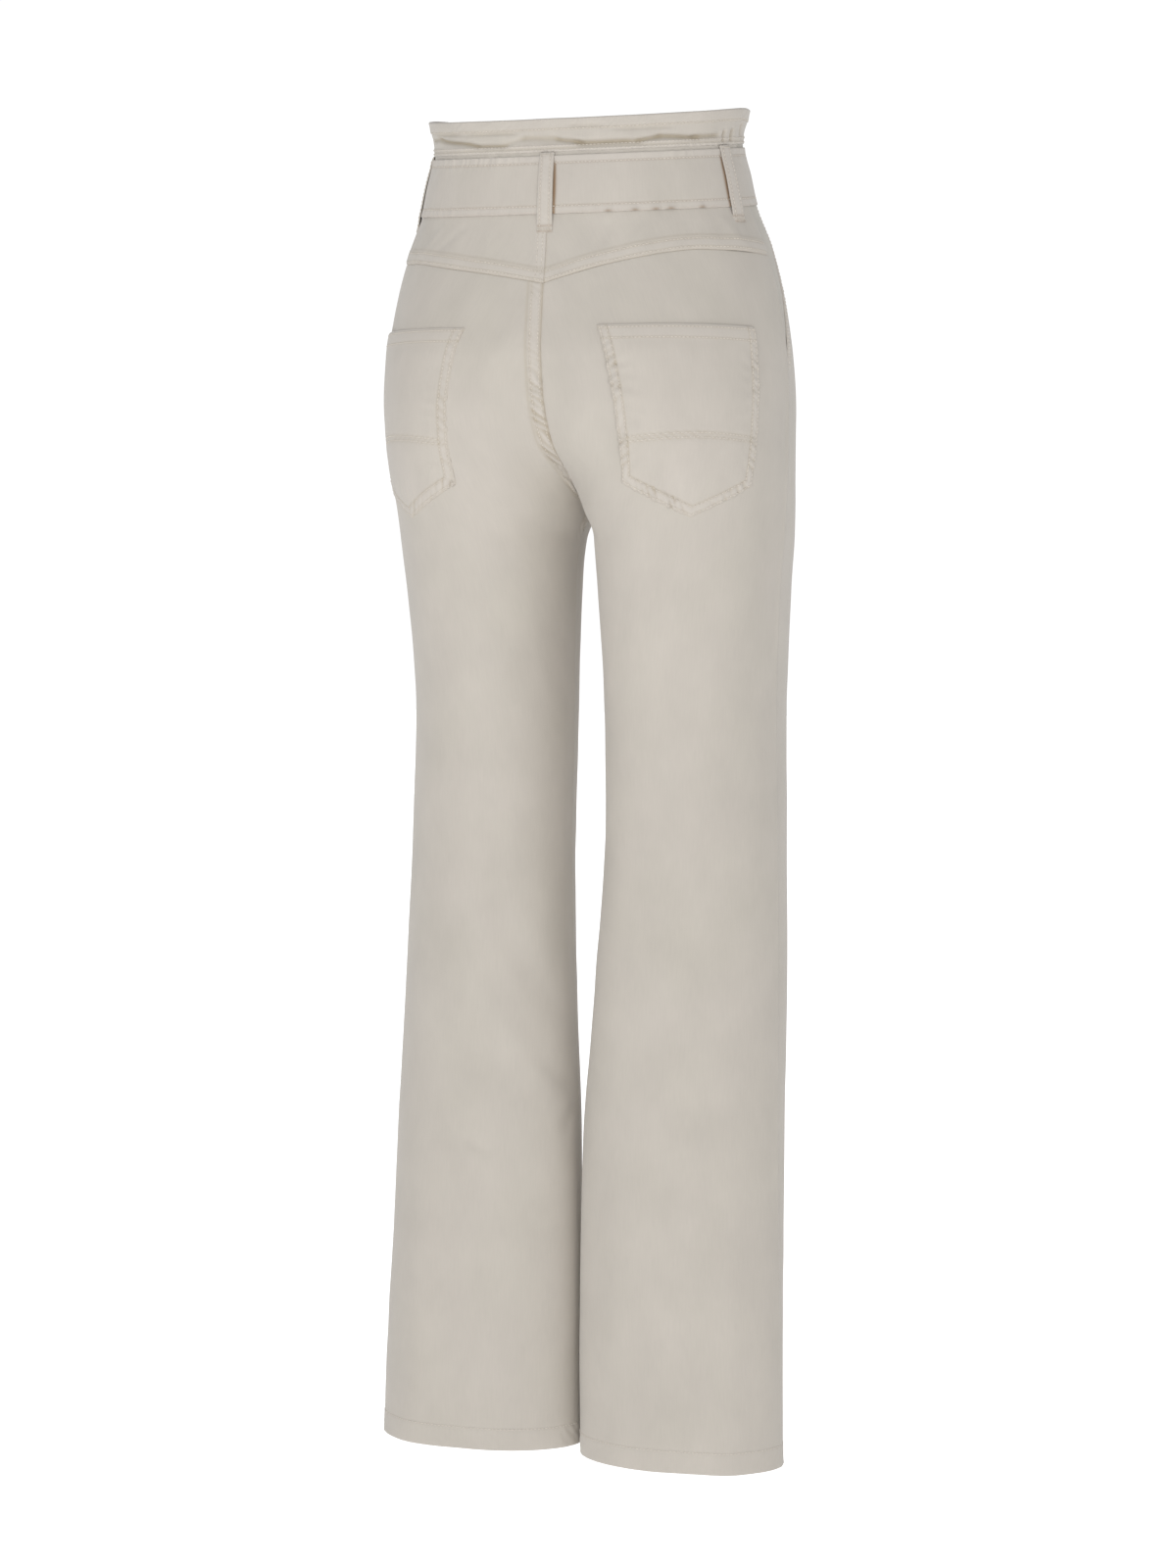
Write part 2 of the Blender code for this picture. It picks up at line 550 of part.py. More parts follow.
def belt_tail(name, side, length, lean, lift, made_of):
    """One free end of the tie, hanging from the knot and lying just off the front panel."""
    share, down = np.meshgrid(np.linspace(0.0, 1.0, TAIL_COLUMNS), np.linspace(0.0, 1.0, TAIL_ROWS))
    top = KNOT_LEVEL - KNOT_HEIGHT / 2 - SEAM_GAP - TAIL_UNDER_KNOT
    slant = TAIL_SLANT * share * smooth_step((down - TAIL_SLANT_START) / (1.0 - TAIL_SLANT_START))
    level = top - (length - slant) * down
    width = TAIL_NECK + (TAIL_WIDTH - TAIL_NECK) * smooth_step(down / TAIL_WIDE_FROM)
    run = TAIL_START + lean * down + width * share
    fall = lift + TAIL_FALL * (1.0 - smooth_step(down / TAIL_FALL_END))
    turn = FORM.middle_turn(run, level, -1)
    return half_piece(name, side, turn, level, fall, DOUBLE_WALL, made_of)


def clear_scene():
    """Remove whatever the scene holds."""
    for thing in list(bpy.data.objects):
        bpy.data.objects.remove(thing, do_unlink=True)


def build():
    """Make every piece of the trousers."""
    clear_scene()
    cloth = material("ecru_twill", ECRU, 0.92)
    light = material("ecru_twill_belt", ECRU_LIGHT, 0.90)
    shade = material("ecru_twill_inner", ECRU_SHADE, 0.94)
    for word, side in (("left", 1), ("right", -1)):
        back_panel(f"back_{word}", side, cloth)
        front_panel(f"front_{word}", side, cloth)
        yoke(f"yoke_{word}", side, cloth)
        pocket_facing(f"pocket_facing_{word}", side, shade)
        back_pocket(f"back_pocket_{word}", side, light)
    fly("fly_placket", 1, cloth)
    frill("frill", cloth)
    belt("belt", light)
    for name, turn, side, top, foot in LOOPS:
        belt_loop(name, turn, side, top, foot, light)
    belt_knot("belt_knot", light)
    for name, side, length, lean, lift in TAILS:
        belt_tail(name, side, length, lean, lift, light)


build()
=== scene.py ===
"""Looks of the paperbag waist trousers: fine cloth pieces that stand for the plain solids of the frame.

Lengths inside this file are millimetres until a mesh is made.  The front faces -Y, the wearer's left
is +X.  A place on the garment is a `turn` round one half of the body (-1 centre front or inseam,
0 outseam, +1 centre back or inseam) and a `level` above the middle of the belt.
"""
from __future__ import annotations

import logging
import sys
from dataclasses import dataclass, field
from enum import Enum

import bpy
import numpy as np
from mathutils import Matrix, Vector


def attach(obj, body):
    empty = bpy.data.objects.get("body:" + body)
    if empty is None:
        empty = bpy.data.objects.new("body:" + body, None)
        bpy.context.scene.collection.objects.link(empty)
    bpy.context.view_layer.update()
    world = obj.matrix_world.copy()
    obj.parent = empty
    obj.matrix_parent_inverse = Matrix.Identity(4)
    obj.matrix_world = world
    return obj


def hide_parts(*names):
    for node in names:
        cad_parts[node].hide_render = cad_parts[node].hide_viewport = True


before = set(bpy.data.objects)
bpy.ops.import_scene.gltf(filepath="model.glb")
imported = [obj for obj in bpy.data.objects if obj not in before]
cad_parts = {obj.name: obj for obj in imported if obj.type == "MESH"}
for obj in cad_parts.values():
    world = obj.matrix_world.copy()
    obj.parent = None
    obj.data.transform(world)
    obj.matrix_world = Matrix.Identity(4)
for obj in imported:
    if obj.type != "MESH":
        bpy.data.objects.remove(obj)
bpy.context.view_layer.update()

LOG = logging.getLogger("trousers")
MM = 0.001
Array = np.ndarray

WAIST_SEAM = 26.0
FRILL_TOP = 53.5
BELT_HALF = 22.5
HEM_LEVELS = {1: -1021.0, -1: -1025.0}
MOUTH_FOOT = -152.0
CLOTH = 1.1               # thickness of one layer of twill as it shows

SECTION_COLUMNS = (
    "level", "half_width", "centre", "shift", "back", "front", "pinch_back", "pinch_front", "splay", "tilt")
SECTIONS = (
    (70.0, 134.0, 28.0, 5.0, 89.0, 97.0, 0.00, 0.00, 0.00, 0.145),
    (50.0, 131.0, 28.0, 5.0, 88.0, 96.0, 0.00, 0.00, 0.00, 0.140),
    (26.0, 126.0, 28.0, 5.0, 87.0, 95.0, 0.00, 0.00, 0.00, 0.115),
    (0.0, 131.5, 30.0, 5.0, 90.0, 99.0, 0.00, 0.00, 0.00, 0.110),
    (-26.0, 137.8, 34.0, 5.0, 92.5, 102.0, 0.03, 0.03, 0.00, 0.105),
    (-56.0, 149.5, 42.0, 3.5, 98.0, 104.0, 0.10, 0.10, 0.00, 0.090),
    (-103.0, 161.3, 54.0, 1.0, 110.5, 106.0, 0.26, 0.22, 0.00, 0.060),
    (-140.0, 166.0, 64.0, -1.0, 118.5, 107.0, 0.35, 0.34, 0.00, 0.035),
    (-173.0, 167.5, 72.0, -3.0, 119.5, 105.0, 0.43, 0.48, 0.00, 0.020),
    (-205.0, 166.8, 79.0, -5.0, 115.5, 101.0, 0.58, 0.66, 0.00, 0.010),
    (-236.0, 165.5, 84.0, -7.0, 108.0, 96.0, 0.88, 0.87, 0.02, 0.000),
    (-264.0, 163.8, 86.5, -8.0, 99.0, 92.0, 1.03, 1.03, 0.06, 0.000),
    (-288.0, 162.3, 87.0, -8.4, 94.5, 90.4, 1.15, 1.15, 0.08, 0.000),
    (-325.0, 159.0, 87.0, -9.0, 89.0, 88.0, 1.20, 1.20, 0.10, 0.000),
    (-420.0, 154.8, 85.5, -13.0, 79.0, 79.0, 1.26, 1.26, 0.12, 0.000),
    (-516.0, 157.2, 87.0, -10.0, 72.0, 72.0, 1.27, 1.27, 0.13, 0.000),
    (-643.0, 161.5, 87.0, 0.0, 65.0, 65.0, 1.17, 1.17, 0.18, 0.000),
    (-770.0, 164.8, 86.0, 10.0, 60.0, 60.0, 1.055, 1.055, 0.17, 0.000),
    (-900.0, 168.8, 86.2, 17.0, 56.0, 56.0, 1.02, 1.02, 0.07, 0.000),
    (-1040.0, 172.3, 86.5, 21.0, 53.0, 53.0, 1.02, 1.02, -0.04, 0.000),
)


class Side(Enum):
    """Which half of the body a piece is on, with the sign of its X."""

    LEFT = 1
    RIGHT = -1


class Held(Enum):
    HUNG = "hung"
    GATHERED = "gathered"
    LAID = "laid"
    FOLDED = "folded"


# ------------------------------------------------------------------ small maths
def smooth_step(t: Array | float) -> Array:
    """0 to 1 with level ends."""
    t = np.clip(t, 0.0, 1.0)
    return t * t * (3.0 - 2.0 * t)


def bump_at(x: Array, middle: float | Array, half_width: float) -> Array:
    """A smooth bump of height 1 about `middle`, nearly nothing past twice its half width."""
    return np.exp(-((x - middle) / half_width) ** 2)


def plateau(x: Array, low: float, high: float, soft: float) -> Array:
    """1 between low and high, falling to 0 over `soft` outside both ends."""
    return smooth_step((x - low + soft) / soft) * smooth_step((high + soft - x) / soft)


def value_noise(x: Array, y: Array, seed: int) -> Array:
    """Smooth noise in -1..1 with one feature to each unit of x and y.

    Args:
        x: first coordinate in features.
        y: second coordinate in features.
        seed: which field of noise.

    Returns:
        The noise, shaped as x and y together.
    """
    x, y = np.broadcast_arrays(np.asarray(x, float), np.asarray(y, float))
    lattice = np.random.default_rng(seed).uniform(-1.0, 1.0, (64, 64))
    column, row = np.floor(x).astype(int), np.floor(y).astype(int)
    a, b = smooth_step(x - column), smooth_step(y - row)
    corners = [lattice[(row + r) % 64, (column + c) % 64] for r in (0, 1) for c in (0, 1)]
    lower = corners[0] * (1 - a) + corners[1] * a
    upper = corners[2] * (1 - a) + corners[3] * a
    return lower * (1 - b) + upper * b


def graded(start: float, stop: float, coarse: float, zones: tuple[tuple[float, float, float], ...]) -> Array:
    """Places from start to stop, closer together inside the zones.

    Args:
        start: first place.
        stop: last place.
        coarse: spacing outside every zone.
        zones: rows of low end, high end and spacing.

    Returns:
        Rising places that hold both ends.
    """
    places = [start]
    while places[-1] < stop:
        here = places[-1]
        inside = [step for low, high, step in zones if low <= here < high]
        ahead = [low for low, _, _ in zones if here < low < here + coarse]
        step = min(inside) if inside else coarse
        places.append(min(here + step, *ahead) if ahead and not inside else here + step)
    scale = (stop - start) / (places[-1] - start)
    return start + (np.array(places) - start) * scale


# ------------------------------------------------------------------ the worn form
class Form:
    """The worn shape of one half of the garment (+X), tabulated by level and turn."""

    level_step = 1.0
    turn_count = 181
    arc_count = 400
    inner_share = 1.1     # length of a section's inner quarter against its leg's centre distance

    def __init__(self) -> None:
        """Tabulate points and normals."""
        self.levels = np.arange(SECTIONS[-1][0], SECTIONS[0][0] + 0.1, self.level_step)
        columns = self.section_curves()
        self.points = np.zeros((len(self.levels), 2 * self.turn_count - 1, 3))
        self.measures = np.zeros((len(self.levels), 2, 3))
        for row in range(len(self.levels)):
            section = {name: columns[name][row] for name in SECTION_COLUMNS}
            front, self.measures[row, 0] = self.half_section(section, -1)
            back, self.measures[row, 1] = self.half_section(section, 1)
            self.points[row] = np.vstack((front[::-1], back[1:]))
        normals = np.cross(np.gradient(self.points, axis=1), np.gradient(self.points, axis=0))
        self.normals = normals / np.linalg.norm(normals, axis=2, keepdims=True)

    def section_curves(self) -> dict[str, Array]:
        """Each section column as a smooth curve over the levels, keyed by its name."""
        rows = np.array(SECTIONS)[::-1]
        known = rows[:, 0]
        place = np.clip(np.searchsorted(known, self.levels) - 1, 0, len(known) - 2)
        width = known[place + 1] - known[place]
        t = (self.levels - known[place]) / width
        curves = {}
        for index, name in enumerate(SECTION_COLUMNS):
            values = rows[:, index]
            steps = np.diff(values) / np.diff(known)
            product = steps[1:] * steps[:-1]
            slopes = np.concatenate(([steps[0]], np.where(
                product > 0, 2 * product / (steps[1:] + steps[:-1] + 1e-12), 0.0), [steps[-1]]))
            curves[name] = ((1 + 2 * t) * (1 - t) ** 2 * values[place]
                            + t * (1 - t) ** 2 * width * slopes[place]
                            + t * t * (3 - 2 * t) * values[place + 1]
                            + t * t * (t - 1) * width * slopes[place + 1])
        return curves

    def half_section(self, section: dict[str, float], way: int) -> tuple[Array, tuple[float, float, float]]:
        """One section from the outseam round to the centre plane or inseam.

        Args:
            section: the level's row, keyed by column name.
            way: 1 for the back, -1 for the front.

        Returns:
            The points, and the outer length, inner length and the turn where they meet.
        """
        depth = section["back"] if way > 0 else section["front"]
        pinch = max(section["pinch_back"] if way > 0 else section["pinch_front"], 1e-4)
        outer = section["half_width"] - section["centre"]
        inner = section["centre"] / pinch
        angle = np.concatenate((np.linspace(-np.pi / 2, 0.0, self.arc_count, endpoint=False),
                                np.linspace(0.0, np.arcsin(min(pinch, 1.0)), self.arc_count)))
        across = np.where(angle < 0, -outer * np.sin(angle), -inner * np.sin(angle))
        y = depth * np.cos(angle) * way
        x = section["centre"] + across - section["splay"] * y
        y = y + section["shift"]
        length = np.concatenate(([0.0], np.cumsum(np.hypot(np.diff(x), np.diff(y)))))
        outer_run = length[self.arc_count]
        inner_run = length[-1] - outer_run
        split = outer_run / (outer_run + self.inner_share * section["centre"])
        turn = np.linspace(0.0, 1.0, self.turn_count)
        wanted = np.where(turn < split, outer_run * turn / split,
                          outer_run + inner_run * (turn - split) / (1.0 - split))
        x = np.interp(wanted, length, x)
        y = np.interp(wanted, length, y)
        z = section["level"] - section["tilt"] * y
        return np.stack((x, y, z), axis=1), (outer_run, inner_run, split)

    def at(self, turn: Array, level: Array) -> tuple[Array, Array]:
        """Position and outward normal at each turn and level of the +X half."""
        turn, level = np.broadcast_arrays(np.asarray(turn, float), np.asarray(level, float))
        row = (level - self.levels[0]) / self.level_step
        column = (turn + 1.0) * (self.turn_count - 1)
        low = np.clip(np.floor(row).astype(int), 0, self.points.shape[0] - 2)
        left = np.clip(np.floor(column).astype(int), 0, self.points.shape[1] - 2)
        a, b = (row - low)[..., None], (column - left)[..., None]
        found = []
        for table in (self.points, self.normals):
            lower = table[low, left] * (1 - b) + table[low, left + 1] * b
            upper = table[low + 1, left] * (1 - b) + table[low + 1, left + 1] * b
            found.append(lower * (1 - a) + upper * a)
        point, normal = found
        return point, normal / np.linalg.norm(normal, axis=-1, keepdims=True)

    def measure(self, level: Array | float, way: int) -> tuple[Array, Array, Array]:
        """Outer length, inner length and split turn of the back (1) or front (-1) at a level."""
        table = self.measures[:, (way + 1) // 2]
        return tuple(np.interp(level, self.levels, table[:, i]) for i in range(3))

    def side_turn(self, run: Array | float, level: Array | float, way: int) -> Array:
        """The turn `run` along the cloth from the outseam, on the back (1) or front (-1)."""
        outer, inner, split = self.measure(level, way)
        run = np.asarray(run, float)
        share = np.where(run < outer, split * run / outer, split + (1 - split) * (run - outer) / inner)
        return way * share

    def middle_turn(self, run: Array | float, level: Array | float, way: int) -> Array:
        """The turn `run` along the cloth from the centre back (1) or centre front (-1)."""
        outer, inner, _ = self.measure(level, way)
        return self.side_turn(outer + inner - np.asarray(run, float), level, way)

    def side_run(self, turn: Array, level: Array) -> Array:
        """Distance along the cloth from the outseam, positive on the back and negative on the front."""
        runs = []
        for way in (-1, 1):
            outer, inner, split = self.measure(level, way)
            share = np.abs(turn)
            runs.append(way * np.where(share < split, outer * share / split,
                                       outer + inner * (share - split) / (1 - split)))
        return np.where(np.asarray(turn) < 0, runs[0], runs[1])

    def middle_run(self, turn: Array, level: Array, way: int) -> Array:
        """Distance along the cloth from the centre back (1) or centre front (-1)."""
        outer, inner, _ = self.measure(level, way)
        return outer + inner - np.abs(self.side_run(turn, level))


FORM = Form()


# ------------------------------------------------------------------ listed folds
CREASE_COLUMNS = ("side", "turn_a", "level_a", "turn_b", "level_b", "width", "height", "bow")
CREASES = (
    # back of the right leg: soft ridge down to the hem, and faint drags over the thigh
    (-1, 0.235, -690.0, 0.27, -1040.0, 15.0, 3.0, 3.0),
    (-1, 0.42, -740.0, 0.45, -1040.0, 20.0, -2.0, -4.0),
    (-1, 0.72, -640.0, 0.66, -900.0, 18.0, 1.4, 6.0),
    (-1, 0.62, -300.0, 0.30, -345.0, 11.0, -0.9, 6.0),
    (-1, 0.78, -318.0, 0.50, -372.0, 12.0, 0.8, 8.0),
    (-1, 0.90, -420.0, 0.55, -520.0, 15.0, -0.8, 9.0),
    # back of the left leg: diagonal drags towards the inner knee and the dark fold low inside
    (1, 0.55, -540.0, 0.95, -690.0, 15.0, -2.0, 9.0),
    (1, 0.45, -600.0, 0.93, -745.0, 13.0, 2.0, 8.0),
    (1, 0.72, -690.0, 0.99, -735.0, 9.0, -1.4, 4.0),
    (1, 0.86, -770.0, 1.02, -728.0, 6.0, -1.5, -2.0),
    (1, 0.50, -764.0, 0.64, -780.0, 5.0, -1.4, 1.0),
    (1, 0.35, -730.0, 0.30, -1040.0, 20.0, 2.2, -5.0),
    (1, 0.58, -860.0, 0.55, -1040.0, 18.0, -1.6, 4.0),
    (1, 0.75, -300.0, 0.40, -350.0, 12.0, -0.9, 7.0),
    (1, 0.88, -330.0, 0.60, -420.0, 14.0, 0.9, 8.0),
    # under the seat, both sides
    (-1, 0.93, -276.0, 0.62, -292.0, 8.0, -1.2, 4.0),
    (1, 0.93, -276.0, 0.62, -294.0, 8.0, -1.2, 4.0),
    # fronts: drags from the crotch to the hip, and long soft folds down the legs
    (-1, -0.97, -250.0, -0.45, -196.0, 9.0, -1.3, 6.0),
    (1, -0.97, -252.0, -0.48, -202.0, 9.0, -1.4, 5.0),
    (-1, -0.96, -272.0, -0.55, -250.0, 8.0, 1.1, 5.0),
    (1, -0.95, -270.0, -0.50, -246.0, 8.0, 1.2, 6.0),
    (-1, -0.93, -300.0, -0.60, -330.0, 10.0, -1.2, 6.0),
    (1, -0.94, -298.0, -0.62, -322.0, 10.0, -1.0, 6.0),
    (-1, -0.50, -420.0, -0.47, -1040.0, 17.0, 2.0, 6.0),
    (1, -0.48, -450.0, -0.50, -1040.0, 18.0, 2.2, -6.0),
    (-1, -0.75, -560.0, -0.72, -1000.0, 17.0, -1.6, 5.0),
    (1, -0.26, -600.0, -0.24, -1040.0, 16.0, -1.7, 4.0),
    (-1, -0.22, -660.0, -0.25, -1040.0, 15.0, -1.4, -4.0),
    (1, -0.78, -640.0, -0.73, -1020.0, 15.0, -1.3, 5.0),
)


def creases(side: int, turn: Array, level: Array) -> Array:
    """Height of the listed folds on one side.

    Args:
        side: 1 for the wearer's left, -1 for the right.
        turn: turns of the places asked for.
        level: their levels.

    Returns:
        How far the folds stand out, troughs negative.
    """
    height = np.zeros(np.broadcast(turn, level).shape)
    girth = 230.0
    for row in CREASES:
        made = dict(zip(CREASE_COLUMNS, row))
        if made["side"] != side:
            continue
        ax, az = made["turn_a"] * girth, made["level_a"]
        dx, dz = made["turn_b"] * girth - ax, made["level_b"] - az
        long = np.hypot(dx, dz)
        px, pz = turn * girth - ax, level - az
        share = (px * dx + pz * dz) / long ** 2
        off = (px * dz - pz * dx) / long - made["bow"] * np.sin(np.pi * np.clip(share, 0.0, 1.0))
        taper = smooth_step(share / 0.3) * smooth_step((1.0 - share) / 0.3)
        if made["level_b"] < -1030.0:
            taper = smooth_step(share / 0.6)
        height += made["height"] * bump_at(off, 0.0, made["width"]) * taper
    return height


def handle(side: int, turn: Array, level: Array) -> Array:
    """Slow unevenness of worn twill, over hand-sized and finger-sized places."""
    run = FORM.side_run(turn, level)
    slow = value_noise(run / 60.0, level / 95.0, 11 + side)
    small = value_noise(run / 17.0, level / 26.0, 21 + side)
    return 0.75 * slow + 0.20 * small


def roping(run: Array, level: Array, pitch: float, slant: float, seed: int) -> Array:
    """Uneven slanting puckers of a washed seam, -1 to 1, run across and level along the seam."""
    wander = 0.8 * pitch * value_noise(level / (1.9 * pitch), run / 40.0, seed)
    along = (level + slant * run + wander) / pitch
    wave = 0.55 * np.sin(2 * np.pi * along) + 0.75 * value_noise(1.7 * along, run / 9.0, seed + 2)
    strength = 0.75 + 0.65 * value_noise(level / (3.1 * pitch), run / 30.0 + 7.0, seed + 1)
    return wave * strength


# ------------------------------------------------------------------ finishes
class ClothGroup:
    """The washed twill effect, with its painted shade and painted highlight, that every cloth material
    shares, as one shader node group.
    """

    name = "washed_twill"
    inputs = (
        ("Place", "NodeSocketVector", None),
        ("Cloth Colour", "NodeSocketColor", (0.55, 0.52, 0.46, 1.0)),
        # Next: a paler tone for wash wear and painted highlight on ridges and edges, then the darker tone of
        # painted shade in seams, creases, grooves and gaps.
        ("Rubbed Colour", "NodeSocketColor", (0.62, 0.59, 0.53, 1.0)),
        ("Recess Colour", "NodeSocketColor", (0.33, 0.27, 0.19, 1.0)),
        # How much of each of those two tones a point takes: wear with painted highlight, then painted shade.
        ("Wear_and_highlight", "NodeSocketFloat", 0.0),
        ("Painted_shade", "NodeSocketFloat", 0.0),
        ("Mottle", "NodeSocketFloat", 0.05),
        ("Roughness", "NodeSocketFloat", 0.9),
    )
    outputs = (
        ("Colour", "NodeSocketColor"),
        ("Roughness", "NodeSocketFloat"),
        ("Height", "NodeSocketFloat"),
    )

    def __init__(self) -> None:
        """Build the group once."""
        self.tree = bpy.data.node_groups.new(self.name, "ShaderNodeTree")
        for name, kind, value in self.inputs:
            socket = self.tree.interface.new_socket(name=name, in_out="INPUT", socket_type=kind)
            if value is not None:
                socket.default_value = value
        for name, kind in self.outputs:
            self.tree.interface.new_socket(name=name, in_out="OUTPUT", socket_type=kind)
        self.source = self.tree.nodes.new("NodeGroupInput")
        self.target = self.tree.nodes.new("NodeGroupOutput")
        self.wire_colour()
        self.wire_height()

    def node(self, kind: str, **settings: object) -> bpy.types.Node:
        """A node in the group with its settings; a key in capitals is an input's default value."""
        made = self.tree.nodes.new(kind)
        for key, value in settings.items():
            if key[0].isupper():
                made.inputs[key.replace("_", " ")].default_value = value
            else:
                setattr(made, key, value)
        return made

    def link(self, source: bpy.types.NodeSocket, target: bpy.types.NodeSocket) -> None:
        """Join two sockets."""
        self.tree.links.new(source, target)

    def scaled_place(self, scale: tuple[float, float, float]) -> bpy.types.NodeSocket:
        """The cloth place, stretched by a scale to each axis."""
        mapping = self.node("ShaderNodeMapping", vector_type="POINT")
        mapping.inputs["Scale"].default_value = scale
        self.link(self.source.outputs["Place"], mapping.inputs["Vector"])
        return mapping.outputs["Vector"]

    def noise(self, scale: tuple[float, float, float], detail: float) -> bpy.types.NodeSocket:
        """Noise over the cloth with one feature to each unit of the scaled place."""
        made = self.node("ShaderNodeTexNoise", Scale=1.0, Detail=detail, Roughness=0.55)
        self.link(self.scaled_place(scale), made.inputs["Vector"])
        return made.outputs["Fac"]

    def maths(self, operation: str, first: bpy.types.NodeSocket | float,
              second: bpy.types.NodeSocket | float) -> bpy.types.NodeSocket:
        """A maths node on two sockets or numbers."""
        made = self.node("ShaderNodeMath", operation=operation)
        for index, value in enumerate((first, second)):
            if isinstance(value, (int, float)):
                made.inputs[index].default_value = value
            else:
                self.link(value, made.inputs[index])
        return made.outputs[0]

    def blend(self, share: bpy.types.NodeSocket, first: bpy.types.NodeSocket | tuple,
              second: bpy.types.NodeSocket | tuple, kind: str = "MIX") -> bpy.types.NodeSocket:
        """Two colours mixed by a share."""
        made = self.node("ShaderNodeMix", data_type="RGBA", blend_type=kind)
        self.link(share, made.inputs[0])
        for index, value in ((6, first), (7, second)):
            if isinstance(value, tuple):
                made.inputs[index].default_value = value
            else:
                self.link(value, made.inputs[index])
        return made.outputs[2]

    def wire_colour(self) -> None:
        """Colour: mottled by washing, streaked by the yarn, paler on ridges and edges for wash wear and
        painted highlight, darker with painted shade in recesses.
        """
        given = self.source.outputs
        broad = self.noise((26.0, 17.0, 1.0), 3.0)
        streak = self.noise((900.0, 60.0, 1.0), 2.0)
        grey = self.maths("ADD", self.maths("MULTIPLY", self.maths("SUBTRACT", broad, 0.5), 1.5),
                          self.maths("MULTIPLY", self.maths("SUBTRACT", streak, 0.5), 0.7))
        swing = self.maths("MULTIPLY", grey, given["Mottle"])
        bright = self.maths("ADD", swing, 1.0)
        scaled = self.node("ShaderNodeVectorMath", operation="SCALE")
        self.link(given["Cloth Colour"], scaled.inputs[0])
        self.link(bright, scaled.inputs["Scale"])
        tint = self.noise((15.0, 11.0, 1.0), 2.0)
        tint_share = self.maths("MULTIPLY", self.maths("SUBTRACT", tint, 0.38), 0.55)
        tinted = self.blend(tint_share, scaled.outputs[0], (0.93, 0.96, 0.90, 1.0), "MULTIPLY")
        # Blend in the paler tone for wash wear and painted highlight, then the painted shade.
        wear_and_highlight = self.blend(given["Wear_and_highlight"], tinted, given["Rubbed Colour"])
        with_painted_shade = self.blend(given["Painted_shade"], wear_and_highlight, given["Recess Colour"])
        self.link(with_painted_shade, self.target.inputs["Colour"])
        rough = self.maths("ADD", given["Roughness"], self.maths("MULTIPLY", swing, 0.8))
        self.link(rough, self.target.inputs["Roughness"])

    def wire_height(self) -> None:
        """Height: slanting twill ribs crossed by the weft, with a little yarn slub."""
        rib = self.node("ShaderNodeTexWave", wave_type="BANDS", bands_direction="DIAGONAL",
                        Scale=1.0, Distortion=0.6, Detail=1.0)
        self.link(self.scaled_place((620.0, 310.0, 1.0)), rib.inputs["Vector"])
        weft = self.node("ShaderNodeTexWave", wave_type="BANDS", bands_direction="Y",
                         Scale=1.0, Distortion=0.4, Detail=1.0)
        self.link(self.scaled_place((1.0, 900.0, 1.0)), weft.inputs["Vector"])
        slub = self.noise((420.0, 120.0, 1.0), 3.0)
        height = self.maths("ADD", self.maths("MULTIPLY", rib.outputs["Fac"], 0.6),
                            self.maths("MULTIPLY", weft.outputs["Fac"], 0.25))
        height = self.maths("ADD", height, self.maths("MULTIPLY", slub, 0.7))
        self.link(height, self.target.inputs["Height"])


@dataclass(frozen=True)
class Finish:
    """One cloth or thread finish, built from the shared twill group."""

    name: str
    colour: tuple[float, float, float]
    slot: str
    # A paler tone for wash wear and painted highlight on ridges and edges, and the darker tone of painted
    # shade in seams, creases, grooves and gaps.
    wear_and_highlight: tuple[float, float, float] = (0.612, 0.565, 0.515)
    painted_shade: tuple[float, float, float] = (0.400, 0.340, 0.245)
    mottle: float = 0.12
    roughness: float = 0.88
    sheen: float = 0.34
    bump_mm: float = 0.10

    def build(self, group: ClothGroup) -> bpy.types.Material:
        """The material, reading the cloth place and its mesh's marks of wear with painted highlight on ridges
        and of painted shade in recesses.
        """
        made = bpy.data.materials.new(self.name)
        made.use_nodes = True
        tree = made.node_tree
        shader = tree.nodes["Principled BSDF"]
        twill = tree.nodes.new("ShaderNodeGroup")
        twill.node_tree = group.tree
        place = tree.nodes.new("ShaderNodeUVMap")
        place.uv_map = "cloth_place"
        tree.links.new(place.outputs["UV"], twill.inputs["Place"])
        # Read the marks of wear with painted highlight and of painted shade from the mesh.
        for mark in ("Wear_and_highlight", "Painted_shade"):
            reader = tree.nodes.new("ShaderNodeAttribute")
            reader.attribute_name = mark.lower()
            tree.links.new(reader.outputs["Fac"], twill.inputs[mark])
        twill.inputs["Cloth Colour"].default_value = (*self.colour, 1.0)
        twill.inputs["Rubbed Colour"].default_value = (*self.wear_and_highlight, 1.0)
        twill.inputs["Recess Colour"].default_value = (*self.painted_shade, 1.0)
        twill.inputs["Mottle"].default_value = self.mottle
        twill.inputs["Roughness"].default_value = self.roughness
        bump = tree.nodes.new("ShaderNodeBump")
        bump.inputs["Strength"].default_value = 0.55
        bump.inputs["Distance"].default_value = self.bump_mm * MM
        tree.links.new(twill.outputs["Height"], bump.inputs["Height"])
        tree.links.new(twill.outputs["Colour"], shader.inputs["Base Color"])
        tree.links.new(twill.outputs["Roughness"], shader.inputs["Roughness"])
        tree.links.new(bump.outputs["Normal"], shader.inputs["Normal"])
        shader.inputs["Metallic"].default_value = 0.0
        shader.inputs["Specular IOR Level"].default_value = 0.25
        shader.inputs["Sheen Weight"].default_value = self.sheen
        shader.inputs["Sheen Roughness"].default_value = 0.5
        return made


TWILL = Finish("ecru_twill", (0.545, 0.504, 0.452), "twill")
POCKET_TWILL = Finish("ecru_twill_pocket", (0.553, 0.510, 0.459), "pocket_twill")
